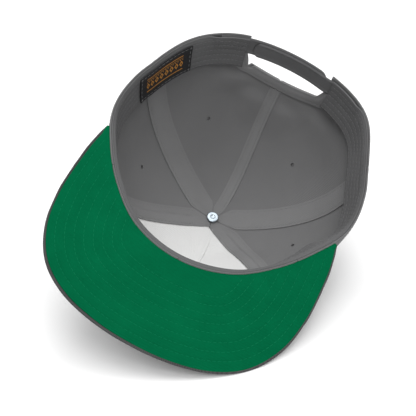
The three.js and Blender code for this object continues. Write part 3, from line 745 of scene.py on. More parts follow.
def stitch_tool():
    """Stitches along each line of a mesh of edges: Pitch apart, each one Length long and Thickness thick."""
    tree, given, out = new_tree("stitch_rows", "GeometryNodeTree", [
        ("Geometry", GEOMETRY, None), ("Pitch", FLOAT, 0.0032), ("Length", FLOAT, 0.0024),
        ("Thickness", FLOAT, 0.0004), ("Unevenness", FLOAT, 0.12), ("Seed", "NodeSocketInt", 3),
        ("Thread", MATERIAL, None)], [("Geometry", GEOMETRY)])
    line = add(tree, "GeometryNodeMeshToCurve", {0: given["Geometry"]}).outputs[0]
    even = add(tree, "GeometryNodeResampleCurve", {"Curve": line, "Length": given["Pitch"]}, mode="LENGTH")
    ball = add(tree, "GeometryNodeMeshUVSphere", {"Segments": 6, "Rings": 4, "Radius": 1.0}).outputs[0]
    half_length = calc(tree, "MULTIPLY", given["Length"], 0.5)
    half_thick = calc(tree, "MULTIPLY", given["Thickness"], 0.5)
    size = add(tree, "ShaderNodeCombineXYZ", {0: half_thick, 1: half_thick, 2: half_length}).outputs[0]
    stitch = add(tree, "GeometryNodeTransform", {"Geometry": ball, "Scale": size}).outputs[0]
    tangent = add(tree, "GeometryNodeInputTangent").outputs[0]
    facing = add(tree, "FunctionNodeAlignRotationToVector", {"Vector": tangent}, axis="Z").outputs[0]
    change = add(tree, "FunctionNodeRandomValue", {"Seed": given["Seed"]}, data_type="FLOAT").outputs[1]
    spread = calc(tree, "MULTIPLY_ADD", calc(tree, "SUBTRACT", change, 0.5), given["Unevenness"], 1.0)
    placed = add(tree, "GeometryNodeInstanceOnPoints", {
        "Points": even.outputs[0], "Instance": stitch, "Rotation": facing, "Scale": spread}).outputs[0]
    return end_tool(tree, placed, given["Thread"], out)


def peg_tool():
    """Snap pegs of the strap: a stem with a round head on each point, along the point's own direction."""
    tree, given, out = new_tree("snap_pegs", "GeometryNodeTree", [
        ("Geometry", GEOMETRY, None), ("Radius", FLOAT, 0.0022), ("Height", FLOAT, 0.002),
        ("Plastic", MATERIAL, None)], [("Geometry", GEOMETRY)])
    stem_radius = calc(tree, "MULTIPLY", given["Radius"], 0.88)
    stem = add(tree, "GeometryNodeMeshCylinder", {
        "Vertices": 24, "Radius": stem_radius, "Depth": given["Height"]})
    ball = add(tree, "GeometryNodeMeshUVSphere", {"Segments": 24, "Rings": 12, "Radius": given["Radius"]})
    lifted = add(tree, "ShaderNodeCombineXYZ", {2: calc(tree, "MULTIPLY", given["Height"], 0.36)}).outputs[0]
    head = add(tree, "GeometryNodeTransform", {
        "Geometry": ball.outputs[0], "Translation": lifted, "Scale": (1.0, 1.0, 0.38)})
    both = add(tree, "GeometryNodeJoinGeometry")
    for part in (stem, head):
        tree.links.new(part.outputs[0], both.inputs[0])
    aim = add(tree, "GeometryNodeInputNamedAttribute", {"Name": "aim"}, data_type="FLOAT_VECTOR").outputs[0]
    facing = add(tree, "FunctionNodeAlignRotationToVector", {"Vector": aim}, axis="Z").outputs[0]
    placed = add(tree, "GeometryNodeInstanceOnPoints", {
        "Points": given["Geometry"], "Instance": both.outputs[0], "Rotation": facing}).outputs[0]
    return end_tool(tree, placed, given["Plastic"], out)


def run_tool(name, points, edges, tree, values, slot, aim=None):
    """Runs a Geometry Nodes tree over points and edges in the row frame, and keeps its result as a plain mesh."""
    base = bpy.data.meshes.new(name + "_lines")
    base.from_pydata(np.asarray(points, float).tolist(), edges, [])
    if aim is not None:
        aims = base.attributes.new("aim", "FLOAT_VECTOR", "POINT").data
        aims.foreach_set("vector", np.asarray(aim).ravel())
    maker = bpy.data.objects.new(name + "_lines", base)
    bpy.context.scene.collection.objects.link(maker)
    modifier = maker.modifiers.new("rows", "NODES")
    modifier.node_group = tree
    sockets = {item.name: item.identifier for item in tree.interface.items_tree if item.in_out == "INPUT"}
    for label, value in values.items():
        modifier[sockets[label]] = value
    bpy.context.view_layer.update()
    mesh = bpy.data.meshes.new_from_object(maker.evaluated_get(bpy.context.evaluated_depsgraph_get()))
    bpy.data.objects.remove(maker)
    if not mesh.polygons:
        raise RuntimeError(f"{name}: the node tree made nothing")
    mesh.name = name
    return new_piece(name, mesh, None, slot)


def stitch(name, rows, thread, slot):
    """Rows of stitches, each a line of points in worn millimetres."""
    points, edges = [], []
    for row in rows:
        start = len(points)
        points += list(place(row))
        edges += [(start + k, start + k + 1) for k in range(len(row) - 1)]
    settings = bpy.context.scene.cap_sewing
    tree = bpy.data.node_groups.get("stitch_rows") or stitch_tool()
    return run_tool(name, points, edges, tree, {
        "Pitch": settings.pitch, "Length": settings.length, "Thickness": settings.thickness,
        "Thread": thread}, slot)


# Settings

def size(name, description, default, low=0.0, high=1.0):
    return FloatProperty(name=name, description=description, default=default, min=low, max=high,
                         unit="LENGTH", precision=4)


def share(name, description, default, low=0.0, high=1.0):
    return FloatProperty(name=name, description=description, default=default, min=low, max=high,
                         subtype="FACTOR")


def colour(name, description, default):
    return FloatVectorProperty(name=name, description=description, default=default, size=3, min=0, max=1,
                               subtype="COLOR")


class CapCrownSettings(bpy.types.PropertyGroup):
    softness: share("Softness", "How strongly the soft hollows of the crown's cloth show", 1.0, 0.0, 2.0)
    topstitch: size("Topstitch Offset", "Distance of the outer stitch rows from each seam", 0.0055, 0.001, 0.02)
    cloth: colour("Crown Cloth", "Colour of the crown's twill", (0.17, 0.17, 0.172))
    tape: colour("Seam Tape", "Colour of the tapes over the seams inside", (0.203, 0.203, 0.205))
    lining: colour("Lining", "Colour of the stiff lining behind the front panels", (0.70, 0.70, 0.695))


class CapBandSettings(bpy.types.PropertyGroup):
    ridges: IntProperty(name="Ridges", description="Stitched ridges along the sweatband", default=5, min=1,
                        max=12)
    ridge: size("Ridge Height", "How far each ridge stands up", 0.00014, 0.0, 0.002)
    loose: share("Looseness", "How far the band's free edge hangs loose right of the front", 1.0, 0.0, 1.5)
    cloth: colour("Band Cloth", "Colour of the sweatband", (0.112, 0.112, 0.114))
    label: colour("Label Ground", "Colour of the woven label's ground", (0.010, 0.010, 0.011))
    gold: colour("Label Thread", "Colour of the label's woven rules and lozenges", (0.5, 0.22, 0.03))


class CapBillSettings(bpy.types.PropertyGroup):
    rows: IntProperty(name="Stitch Rows", description="Rows of stitches along the bill's edge", default=8,
                      min=1, max=14)
    first: size("First Row", "Distance of the first row from the edge", 0.0065, 0.002, 0.02)
    spacing: size("Row Spacing", "Distance between rows", 0.0057, 0.002, 0.02)
    quilting: size("Quilting", "How deep the stitches pull the cloth", 0.00022, 0.0, 0.001)
    cloth: colour("Bill Cloth", "Colour of the outer cloth of the bill", (0.16, 0.16, 0.162))
    under: colour("Under Cloth", "Colour of the cloth under the bill", (0.0012, 0.105, 0.041))
    under_thread: colour("Under Thread", "Colour of the stitches under the bill", (0.0022, 0.155, 0.064))


class CapStrapSettings(bpy.types.PropertyGroup):
    rib: size("Rib", "How far the long edges of the strap stand up", 0.00025, 0.0, 0.001)
    peg: size("Peg Radius", "Radius of a snap peg", 0.0022, 0.001, 0.004)
    plastic: colour("Plastic", "Colour of the strap", (0.11, 0.11, 0.112))
    metal: colour("Rivet", "Colour of the rivet under the button", (0.44, 0.50, 0.55))


class CapSewingSettings(bpy.types.PropertyGroup):
    pitch: size("Stitch Pitch", "Distance from one stitch to the next", 0.0032, 0.001, 0.01)
    length: size("Stitch Length", "Length of the thread that shows in one stitch", 0.0026, 0.0005, 0.01)
    thickness: size("Thread Thickness", "Thickness of the sewing thread", 0.0004, 0.0001, 0.002)
    thread: colour("Thread", "Colour of the grey sewing thread", (0.17, 0.17, 0.172))


class CapStageSettings(bpy.types.PropertyGroup):
    floor: colour("Floor", "Colour of the floor", (0.9, 0.9, 0.9))
    glow: share("Glow", "How much light the floor adds of its own, which lifts the shadows", 0.07)
    sky: FloatProperty(name="Surrounding Light", description="Strength of the light from all round",
                       default=0.2, min=0, max=10)
    key: FloatProperty(name="Soft Lights", description="Power that the soft lights share", default=40.0, min=0,
                       max=500, subtype="POWER")
    lens: FloatProperty(name="Lens", description="Focal length on a 36 mm wide sensor", default=82.2, min=10,
                        max=500, unit="CAMERA")


# Crown

PANELS = table(
    "name start end eyelet",
    ("front_left_panel", "front", "front_left", (30.0, 78.0)),
    ("side_left_panel", "front_left", "back_left", (90.5, 78.7)),
    ("back_left_panel", "back_left", "back", (148.4, 76.6)),
    ("back_right_panel", "back", "back_right", (208.6, 81.3)),
    ("side_right_panel", "back_right", "front_right", (-91.3, 79.5)),
    ("front_right_panel", "front_right", "front", (-30.0, 78.0)),
)
CLOTH_THICK = 1.2
TURNED_UNDER = {"deep": 0.75, "wide": 1.1}
TOPSTITCH_PULL = {"deep": 0.16, "wide": 0.9}
SEAM_SETS_IN = {"share": 0.25, "rise": 0.03}

# Soft hollows (positive) and swellings (negative) of the crown's cloth, seen from outside: where each one is,
# how far it reaches along the cloth, towards the rim and towards the top, and how deep it is.
CROWN_FOLDS = table(
    "turn up wide low high deep",
    (-174, 55, 11, 10, 30, 2.6),
    (170, 54, 11, 10, 26, 2.4),
    (158, 42, 13, 8, 16, 1.8),
    (153, 30, 14, 7, 7, -1.8),
    (-158, 35, 16, 12, 12, -1.7),
    (-140, 45, 14, 22, 22, 0.8),
    (130, 60, 18, 34, 34, -0.8),
    (90, 48, 30, 26, 26, 0.8),
    (-85, 60, 30, 30, 30, -0.9),
    (-62, 92, 30, 18, 18, 0.6),
)

ARCH = {"left": 20.0, "right": 18.3, "flat": 16.0, "middle_up": 29.5, "side_up": 25.0}
# The arch's ends: degrees from the middle of the back, and height up from the rim.
ARCH_ENDS = {
    -1: np.array([(20.0, 13.5), (19.1, 17.2), (18.2, 21.8), (17.4, 28.2), (16.0, 27.6)]),
    1: np.array([(18.3, 16.0), (17.6, 19.0), (16.9, 22.0), (16.2, 24.4), (15.2, 25.5)]),
}


def soft_hollows(turn, up):
    """How much deeper the crown's soft cloth lies."""
    total = np.zeros(np.broadcast(turn, up).shape)
    for fold in CROWN_FOLDS:
        off = (turn - fold["turn"] + 180) % 360 - 180
        reach = np.where(up < fold["up"], fold["low"], fold["high"])
        total += fold["deep"] * hump(off, 0, fold["wide"]) * hump(up, fold["up"], reach)
    return bpy.context.scene.cap_crown.softness * total


def panel_grid(start, end, gap, columns, rises, ends=0.75):
    """Turn and rise of a grid between two seams, crowded towards both, and millimetres to the nearer seam."""
    lap = 360 if SEAMS[end][0] < SEAMS[start][0] else 0
    even = np.linspace(0, 1, columns + 1)
    share = (even - ends * np.sin(2 * np.pi * even) / (2 * np.pi))[:, None]
    rise = np.broadcast_to(rises, (columns + 1, len(rises)))
    first, last = seam_turn(start, rise), seam_turn(end, rise) + lap
    inset = turn_of(gap, (first + last) / 2, rise)
    turn = (first + inset) * (1 - share) + (last - inset) * share
    to_seam = np.minimum(turn - first, last - turn) * np.radians(1) * ring_radius(turn, rise)
    return turn, rise, to_seam


def panel_depth(turn, rise, to_seam):
    """How deep the outer face lies: the cloth turns under at the seams, and swells between them."""
    topstitch = bpy.context.scene.cap_crown.topstitch / MM
    turned_under = TURNED_UNDER["deep"] * bell(to_seam, TURNED_UNDER["wide"])
    sewn = TOPSTITCH_PULL["deep"] * bell(to_seam - topstitch, TOPSTITCH_PULL["wide"])
    near_rim = SEAM_SETS_IN["share"] + (1 - SEAM_SETS_IN["share"]) * smoothstep(rise, 0, SEAM_SETS_IN["rise"])
    return (turned_under + sewn) * near_rim + soft_hollows(turn, up_at(turn, rise))


def arch_half(off):
    return np.where(np.asarray(off) > 0, ARCH["right"], ARCH["left"])


def arch_up(off):
    """Height of the arch's edge above the rim, at degrees from the back's middle, positive to its right."""
    far = np.abs(off)
    higher = (ARCH["middle_up"] - ARCH["side_up"]) * np.maximum(0, 1 - (far / ARCH["flat"]) ** 2)
    up = ARCH["side_up"] + higher
    for side, end in ARCH_ENDS.items():
        at_end = (np.sign(off) == side) & (far > end[-1, 0])
        up = np.where(at_end, np.interp(far, end[::-1, 0], end[::-1, 1]), up)
    return up


def arch_window():
    """What the arch takes out of the back panels."""
    beyond = 6.0
    left, right = -ARCH_ENDS[-1][:, 0], ARCH_ENDS[1][::-1, 0]
    off = np.concatenate([left, np.linspace(left[-1], right[0], 38)[1:-1], right])
    up = np.stack([np.zeros(len(off)), arch_up(off)], 1)
    turn = np.broadcast_to(180 + off[:, None], up.shape)
    faces = [crown_at(turn, up, depth) for depth in (-beyond, CLOTH_THICK + beyond)]
    outer, inner = (np.concatenate([face[:, :1] - [0, 0, beyond], face], 1) for face in faces)
    return wall("arch_window", outer, inner, np.zeros((*outer.shape[:2], 2)), rounding=0)


class CAP_OT_panels(bpy.types.Operator):
    """Make the six cloth panels of the crown"""
    bl_idname = "cap.panels"
    bl_label = "Crown Panels"

    def execute(self, context):
        opening, beyond = 1.35, 3
        # The crown's cloth is a little darker along the rim and top edges of each panel.
        cloth = material_of("crown_twill", cloth_material, context.scene.cap_crown.cloth, thread=0.55,
                            mottle=0.05, patch=24.0, fade=-0.2)
        rises = np.concatenate([np.linspace(0, 0.04, 8)[:-1], np.linspace(0.04, TOP_HOLE_RISE, 74)])
        for panel in PANELS:
            turn, rise, to_seam = panel_grid(panel["start"], panel["end"], SEAM_GAP, 60, rises)
            inside = CLOTH_THICK + soft_hollows(turn, up_at(turn, rise))
            mesh = crown_wall(panel["name"], turn, rise, panel_depth(turn, rise, to_seam), inside)
            cutters = [plug(*panel["eyelet"], opening, -beyond, CLOTH_THICK + beyond)]
            if panel["name"].startswith("back"):
                cutters.append(arch_window())
            new_piece(panel["name"] + "_cloth", cut(mesh, cutters), cloth, "crown_cloth", [panel["name"]])
        return {"FINISHED"}


LININGS = {"depth": 1.6, "thick": 1.0, "foot": 12.0, "top_rise": 0.965}


class CAP_OT_linings(bpy.types.Operator):
    """Make the stiff white lining behind the two front panels"""
    bl_idname = "cap.linings"
    bl_label = "Front Linings"

    def execute(self, context):
        lining = material_of("stiff_lining", cloth_material, context.scene.cap_crown.lining, thread=0.9,
                             twill=0.0, relief=0.3, mottle=0.02, fade=0.0, weave=0.12)
        rises = np.linspace(float(rise_at(25.0, LININGS["foot"])), LININGS["top_rise"], 60)
        sides = (("buckram_left", "front", "front_left"), ("buckram_right", "front_right", "front"))
        for name, start, end in sides:
            turn, rise, _ = panel_grid(start, end, 2 * SEAM_GAP, 40, rises)
            mesh = crown_wall(name, turn, rise, LININGS["depth"], LININGS["depth"] + LININGS["thick"])
            new_piece(name + "_cloth", mesh, lining, "buckram", [name])
        return {"FINISHED"}


# The tapes: half width, thickness, depth of the two sides, room to the neighbours at the top, and foot. Each
# one's raised side, -1 or 1, is the one before or after its seam; its other side lies pressed flat.
TAPES = table(
    "seam half thick depths room foot raised",
    ("front", 3.8, 0.5, (2.75, 2.75), (20, 24), 21, -1),
    ("front_left", 8.3, 0.8, (2.9, 1.35), (76.5, 30), 21, -1),
    ("front_right", 8.3, 0.6, (1.35, 2.9), (24, 56.5), 21, 1),
    ("back_left", 8.3, 0.8, (1.35, 1.35), (27, 36), 21, -1),
    ("back_right", 8.3, 0.5, (1.35, 1.35), (30, 25), 21, 1),
    ("back", 4.0, 0.8, (1.35, 1.35), (22, 20), 38.2, 1),
)
TAPE_TOP_RISE, FRONT_TAPE_TOP_RISE, TAPE_CLEAR = 0.982, 0.955, 0.25
TAPE_WIDENING, TAPE_WIDENS_OVER = 6.0, 0.004
TAPE_FLATTENS = (0.85, 0.93)
PRESSED_THICK, TAPE_SWELL = 0.2, 0.15
TAPE_STITCH = {"inset": 1.5, "deep": 0.2, "wide": 0.7, "to_share": 0.93}


def tape_grid(tape, columns, rows):
    """Turn and rise of a grid over a seam, and how far each row lies across the tape, from -1 to 1."""
    seam, low = tape["seam"], tape["foot"]
    first = seam_turn(seam, low / CLOTH_LENGTH)
    top = FRONT_TAPE_TOP_RISE if seam == "front" else TAPE_TOP_RISE
    rises = np.linspace(float(rise_at(first, low)), top, rows + 1)
    middle = seam_turn(seam, rises)
    across = np.sin(np.linspace(-math.pi / 2, math.pi / 2, columns + 1))[:, None]
    before, after = (tape["room"][k] - turn_of(TAPE_CLEAR, middle, rises) for k in (0, 1))
    wider = 0 if seam == "back" else TAPE_WIDENING
    wider = wider * smoothstep(rises, FRONT_TAPE_TOP_RISE, FRONT_TAPE_TOP_RISE + TAPE_WIDENS_OVER)
    half = turn_of(tape["half"] + wider, middle, rises)
    turn = middle + across * np.where(across < 0, np.minimum(half, before), np.minimum(half, after))
    return turn, np.broadcast_to(rises, turn.shape), across


def tape_depth(tape, across):
    """Depth of the tape's outer face. Over the front lining it lies deeper, and steps down beside the seam."""
    left, right = tape["depths"]
    step = smoothstep(across, -0.02, 0.16) if left > right else smoothstep(across, -0.16, 0.02)
    return left + (right - left) * step


class CAP_OT_tapes(bpy.types.Operator):
    """Make the tapes over the six seams, with their stitches"""
    bl_idname = "cap.tapes"
    bl_label = "Seam Tapes"

    def execute(self, context):
        settings = context.scene.cap_crown
        grey = material_of("tape_twill", cloth_material, settings.tape, thread=0.5, mottle=0.05)
        white = material_of("white_tape", cloth_material, settings.lining, thread=0.6, twill=0.0, mottle=0.02,
                            fade=0.0, weave=0.1)
        rows = []
        for tape in TAPES:
            turn, rise, across = tape_grid(tape, 20, 90)
            base = tape_depth(tape, across) + soft_hollows(turn, up_at(turn, rise))
            raised = 0.5 + 0.5 * tape["raised"] * across
            lift = smoothstep(raised, 0.0, 0.55) * (1 - smoothstep(rise, *TAPE_FLATTENS))
            thick = PRESSED_THICK + (tape["thick"] + TAPE_SWELL - PRESSED_THICK) * lift
            from_row = (np.abs(across) - 1) * tape["half"] + TAPE_STITCH["inset"]
            inner = base + thick - TAPE_STITCH["deep"] * raised * bell(from_row, TAPE_STITCH["wide"])
            name = "seam_tape_" + tape["seam"]
            mesh = crown_wall(name, turn.T, rise.T, base.T, inner.T)
            front = tape["seam"] == "front"
            new_piece(name + "_cloth", mesh, white if front else grey, "white_tape" if front else "tape_cloth",
                      [name])
            if front:
                continue
            for side in (-1, 1):
                row_at = side * (1 - TAPE_STITCH["inset"] / tape["half"])
                row = int(np.argmin(np.abs(across[:, 0] - row_at)))
                line = crown_point(turn[row], rise[row], inner[row])
                rows.append(line[:int(TAPE_STITCH["to_share"] * len(line))])
        stitch("tape_stitches", rows, grey_thread(), "tape_cloth")
        return {"FINISHED"}


HEM = {"outer": 1.8, "thick": 0.8, "swell": 0.3, "width": 7.7, "widen": 1.07}
# The outer edge of the hem at the arch's ends: degrees beyond the arch, and up.
HEM_END = np.array([(4.5, 15.0), (4.4, 20.5), (4.0, 26.0), (2.8, 30.0), (0.6, 32.2)])
HEM_STITCHES = {"deep": 0.2, "wide": 0.7, "across": (0.18, 0.82)}


class CAP_OT_arch(bpy.types.Operator):
    """Make the hem band round the arch over the strap"""
    bl_idname = "cap.arch"
    bl_label = "Arch Hem"

    def execute(self, context):
        width, widen, steps = HEM["width"], HEM["widen"], 16
        sides = []
        for side, end in ARCH_ENDS.items():
            over = np.linspace(end[-1, 0] - 1.2, 0, 36)
            up = arch_up(side * over)
            edge = np.concatenate([end, np.stack([over, up], 1)])
            out = np.concatenate([HEM_END + [end[0, 0], 0], np.stack([over * widen, up + width], 1)])
            sides.append([line * [side, 1] for line in (edge, out)])
        edge, out = (np.concatenate([left, right[-2::-1]])[:, None] for left, right in zip(*sides))
        across = np.linspace(0, 1, steps + 1)
        grid = edge * (1 - across[:, None]) + out * across[:, None]
        turn, up = 180 + grid[..., 0], grid[..., 1]
        rise = rise_at(turn, up)
        soft = soft_hollows(turn, up_at(turn, rise))
        rows = [(across - at) * width for at in HEM_STITCHES["across"]]
        sewn = HEM_STITCHES["deep"] * sum(bell(from_row, HEM_STITCHES["wide"]) for from_row in rows)
        outer = HEM["outer"] + soft
        inner = outer + HEM["thick"] + HEM["swell"] * np.sin(np.pi * across) - sewn
        tape = material_of("tape_twill", cloth_material, context.scene.cap_crown.tape)
        new_piece("arch_binding_cloth", crown_wall("arch_binding", turn, rise, outer, inner), tape, "tape_cloth",
                  ["arch_binding"])
        lines = []
        for at in HEM_STITCHES["across"]:
            row = int(round(at * steps))
            for depth in (inner, soft - 0.02):
                lines.append(crown_point(turn[:, row], rise[:, row], depth[:, row]))
        stitch("arch_stitches", lines, grey_thread(), "tape_cloth")
        return {"FINISHED"}


# Sweatband and label

BAND = {"end": 159.3, "foot": 0.5, "height": 26.0, "outer": 1.8, "lean": 3.0, "thick": 1.5, "cloth": 1.2,
        "ridged_from": 4.0, "last_row_inset": 1.0, "row_inset_turn": 1.5}
OVER_STRAP = {"depth": 3.3, "ease": 136.0, "strap": 145.0}
RIPPLE = {"deep": 0.35, "waves": 9, "start": 20, "up": 20, "half": 16, "from": 12, "full": 60}
FOOT_TURN = {"up": 3.2, "depth": 1.3, "ease": 138, "end": 144}

# How far the band stands off the crown beyond that, every ten degrees from the right side to the left: at
# its foot, over the thick seam of the bill, and at its free edge, which hangs loose right of the front.
STAND_STEP, STAND_FROM_UP = 10.0, 3
STAND_FOOT = np.array(
    [0, 0.6, 1.4, 1.5, 1.4, 0.7, 0.9, 1.5, 1.85, 1.85, 1.75, 1.55, 1.3, 1.2, 1.1, 1.0, 0.8, 0.4, 0])
STAND_EDGE = np.array(
    [0, 2.6, 6.7, 5.6, 5.0, 3.6, 2.4, 1.9, 1.85, 1.85, 1.75, 1.55, 1.3, 1.2, 1.1, 1.0, 0.8, 0.4, 0])


def band_depth(turn, up):
    """Depth of the band's outer face: it leans in towards its free edge, and folds out loosely at one place."""
    leaning = BAND["outer"] + BAND["lean"] * up / BAND["height"]
    strapped = smoothstep(np.abs(turn), OVER_STRAP["ease"], OVER_STRAP["strap"]) * OVER_STRAP["depth"]
    at = turn / STAND_STEP / (len(STAND_FOOT) - 1) + 0.5
    foot, edge = spline(STAND_FOOT, at), spline(STAND_EDGE, at)
    loose = bpy.context.scene.cap_band.loose * (edge - foot)
    stand = foot + loose * np.clip((up - STAND_FROM_UP) / (BAND["height"] - STAND_FROM_UP), 0, 1)
    ripple = RIPPLE["deep"] * np.sin(np.radians(turn * RIPPLE["waves"] + RIPPLE["start"]))
    ripple = ripple * hump(up, RIPPLE["up"], RIPPLE["half"])
    ripple = ripple * smoothstep(np.abs(turn), RIPPLE["from"], RIPPLE["full"])
    depth = np.maximum(leaning, strapped) + stand + ripple
    turned_out = 1 - smoothstep(up, BAND["foot"], FOOT_TURN["up"])
    turned_out = turned_out * (1 - smoothstep(np.abs(turn), FOOT_TURN["ease"], FOOT_TURN["end"]))
    return depth + (FOOT_TURN["depth"] - depth) * turned_out


def ridge_span():
    return (BAND["height"] - BAND["ridged_from"]) / bpy.context.scene.cap_band.ridges


def band_inside(turn, up):
    """Depth of the band's inner face, with its ridges; it is as thick where it turns out at its foot."""
    near = 0.1
    slope = (band_depth(turn, up + near) - band_depth(turn, up - near)) / (2 * near)
    over = np.pi * np.clip(up - BAND["ridged_from"], 0, None) / ridge_span()
    ridges = bpy.context.scene.cap_band.ridge / MM * np.abs(np.sin(over)) ** 1.5
    return band_depth(turn, up) + BAND["cloth"] * np.hypot(1, slope) + ridges


class CAP_OT_sweatband(bpy.types.Operator):
    """Make the sweatband inside the rim, with its stitched ridges"""
    bl_idname = "cap.sweatband"
    bl_label = "Sweatband"

    def execute(self, context):
        settings = context.scene.cap_band
        # The band's cloth is painted darker along its free head edge, a painted shadow line where that edge stands off
        # the crown; its foot edge is left unmarked.
        cloth = material_of("band_twill", cloth_material, settings.cloth, thread=0.5, mottle=0.06, fade=-0.55)
        turns = np.linspace(-BAND["end"], BAND["end"], 401)
        rows = np.concatenate([np.linspace(BAND["foot"], BAND["ridged_from"], 14)[:-1],
                               np.linspace(BAND["ridged_from"], BAND["height"], 51)])
        mesh = band_wall("sweatband", turns, rows, band_depth, band_inside, worn_foot=0.0)
        new_piece("sweatband_cloth", mesh, cloth, "band_cloth", ["sweatband"])
        thread = material_of("band_thread", thread_material, [1.2 * part for part in settings.cloth])
        ups = BAND["ridged_from"] + ridge_span() * np.arange(settings.ridges + 1)
        ups[-1] -= BAND["last_row_inset"]
        end = BAND["end"] - BAND["row_inset_turn"]
        turns = np.linspace(-end, end, 400)
        lines = [crown_at(turns, up, band_inside(turns, np.full(400, up))) for up in ups]
        stitch("sweatband_stitches", lines, thread, "band_cloth")
        return {"FINISHED"}


LABEL = {"start": 101.5, "end": 131.5, "foot": 3.2, "height": 22.0, "clear": 0.3, "thick": 0.6,
         "side_inset_turn": math.degrees(1.6 / 90), "foot_inset": 1.2, "head_inset": 1.4}
# The label's pattern, in millimetres from its middle: rules above and below, dots, and a row of lozenges.
RULES = table("at half", (-6.0, 0.4), (5.6, 0.4), (-4.2, 0.2))
DOTS = {"apart": 2.1, "half": 0.22, "at": -2.9, "half_height": 0.4}
LOZENGES = {"apart": 4.2, "at": 0.6, "slope": 0.62, "outer": 1.7, "inner": 0.75}
PATTERN_HALF = 16.0


def label_material(name, ground, gold):
    """A woven label with a generic pattern: rules, dots and a row of lozenges."""
    material, tree, spot, cloth = new_material(name)
    split = add(tree, "ShaderNodeSeparateXYZ", {0: cloth}).outputs
    along = calc(tree, "MULTIPLY", split[0], 1 / MM)
    middle = LABEL["foot"] + LABEL["height"] / 2
    up = calc(tree, "SUBTRACT", calc(tree, "MULTIPLY", split[1], 1 / MM), middle)

    def off(value, at):
        return calc(tree, "ABSOLUTE", calc(tree, "SUBTRACT", value, at))

    def line(value, at, half):
        """1 within half a width of a place."""
        return calc(tree, "LESS_THAN", off(value, at), half)

    def within_cell(apart):
        return calc(tree, "FRACT", calc(tree, "DIVIDE", along, apart))

    dots = calc(tree, "MULTIPLY", line(within_cell(DOTS["apart"]), 0.5, DOTS["half"]),
                line(up, DOTS["at"], DOTS["half_height"]))
    aside = calc(tree, "MULTIPLY", off(within_cell(LOZENGES["apart"]), 0.5), LOZENGES["apart"])
    lozenge = calc(tree, "MULTIPLY_ADD", off(up, LOZENGES["at"]), LOZENGES["slope"], aside)
    outlined = calc(tree, "MULTIPLY", calc(tree, "LESS_THAN", lozenge, LOZENGES["outer"]),
                    calc(tree, "GREATER_THAN", lozenge, LOZENGES["inner"]))
    pattern = calc(tree, "MAXIMUM", dots, outlined)
    for rule in RULES:
        pattern = calc(tree, "MAXIMUM", pattern, line(up, rule["at"], rule["half"]))
    pattern = calc(tree, "MULTIPLY", pattern, line(along, 0.0, PATTERN_HALF))
    threads = group_node(tree, "woven_threads", weave_group, {"Cloth": cloth, "Thread": 0.3 * MM, "Twill": 0.0})
    speckle = noise(tree, spot, 1500.0, 2.0)
    ground_tone = blend_colour(tree, speckle, shade(ground, 0.5), shade(ground, 2.2))
    gold_tone = blend_colour(tree, threads["Height"], shade(gold, 0.6), shade(gold))
    height = calc(tree, "MULTIPLY_ADD", pattern, 0.8, threads["Height"])
    finish_material(tree, {
        "Base Color": blend_colour(tree, pattern, ground_tone, gold_tone),
        "Roughness": calc(tree, "MULTIPLY_ADD", pattern, -0.2, 0.75),
        "Normal": bumped(tree, height, 0.6, 0.2), "Specular IOR Level": 0.3})
    return material


class CAP_OT_label(bpy.types.Operator):
    """Make the woven label on the sweatband"""
    bl_idname = "cap.label"
    bl_label = "Label"

    def execute(self, context):
        settings = context.scene.cap_band
        woven = material_of("woven_label", label_material, settings.label, settings.gold)

        def back(turn, up):
            return band_depth(turn, up) + BAND["thick"] + LABEL["clear"]

        def front(turn, up):
            return back(turn, up) + LABEL["thick"]

        head = LABEL["foot"] + LABEL["height"]
        turns = np.linspace(LABEL["start"], LABEL["end"], 49)
        mesh = band_wall("label", turns, np.linspace(LABEL["foot"], head, 37), back, front)
        new_piece("label_cloth", mesh, woven, "label_cloth", ["label"])
        sides = (LABEL["start"] + LABEL["side_inset_turn"], LABEL["end"] - LABEL["side_inset_turn"])
        ends = (LABEL["foot"] + LABEL["foot_inset"], head - LABEL["head_inset"])
        lines = [(np.full(20, turn), np.linspace(*ends, 20)) for turn in sides]
        lines += [(np.linspace(*sides, 40), np.full(40, up)) for up in ends]
        rows = [crown_at(turn, up, front(turn, up)) for turn, up in lines]
        stitch("label_stitches", rows, grey_thread(), "label_cloth")
        return {"FINISHED"}


# Button and rivet, in millimetres from the top of the crown.
BUTTON = {"radius": 8.0, "height": 5.0, "side": 1.6, "gap": 0.4}
GATHERS = {"deep": 0.12, "folds": 14, "uneven": 0.8, "waves": 3, "from": 4.5}
RIVET = {"face": -5.4, "back": -4.2, "radius": 4.3, "edge": 0.6, "dish": 0.5, "dish_from": 1.0, "dish_wide": 0.9,
         "dish_flat": 0.6, "stem": 1.6}


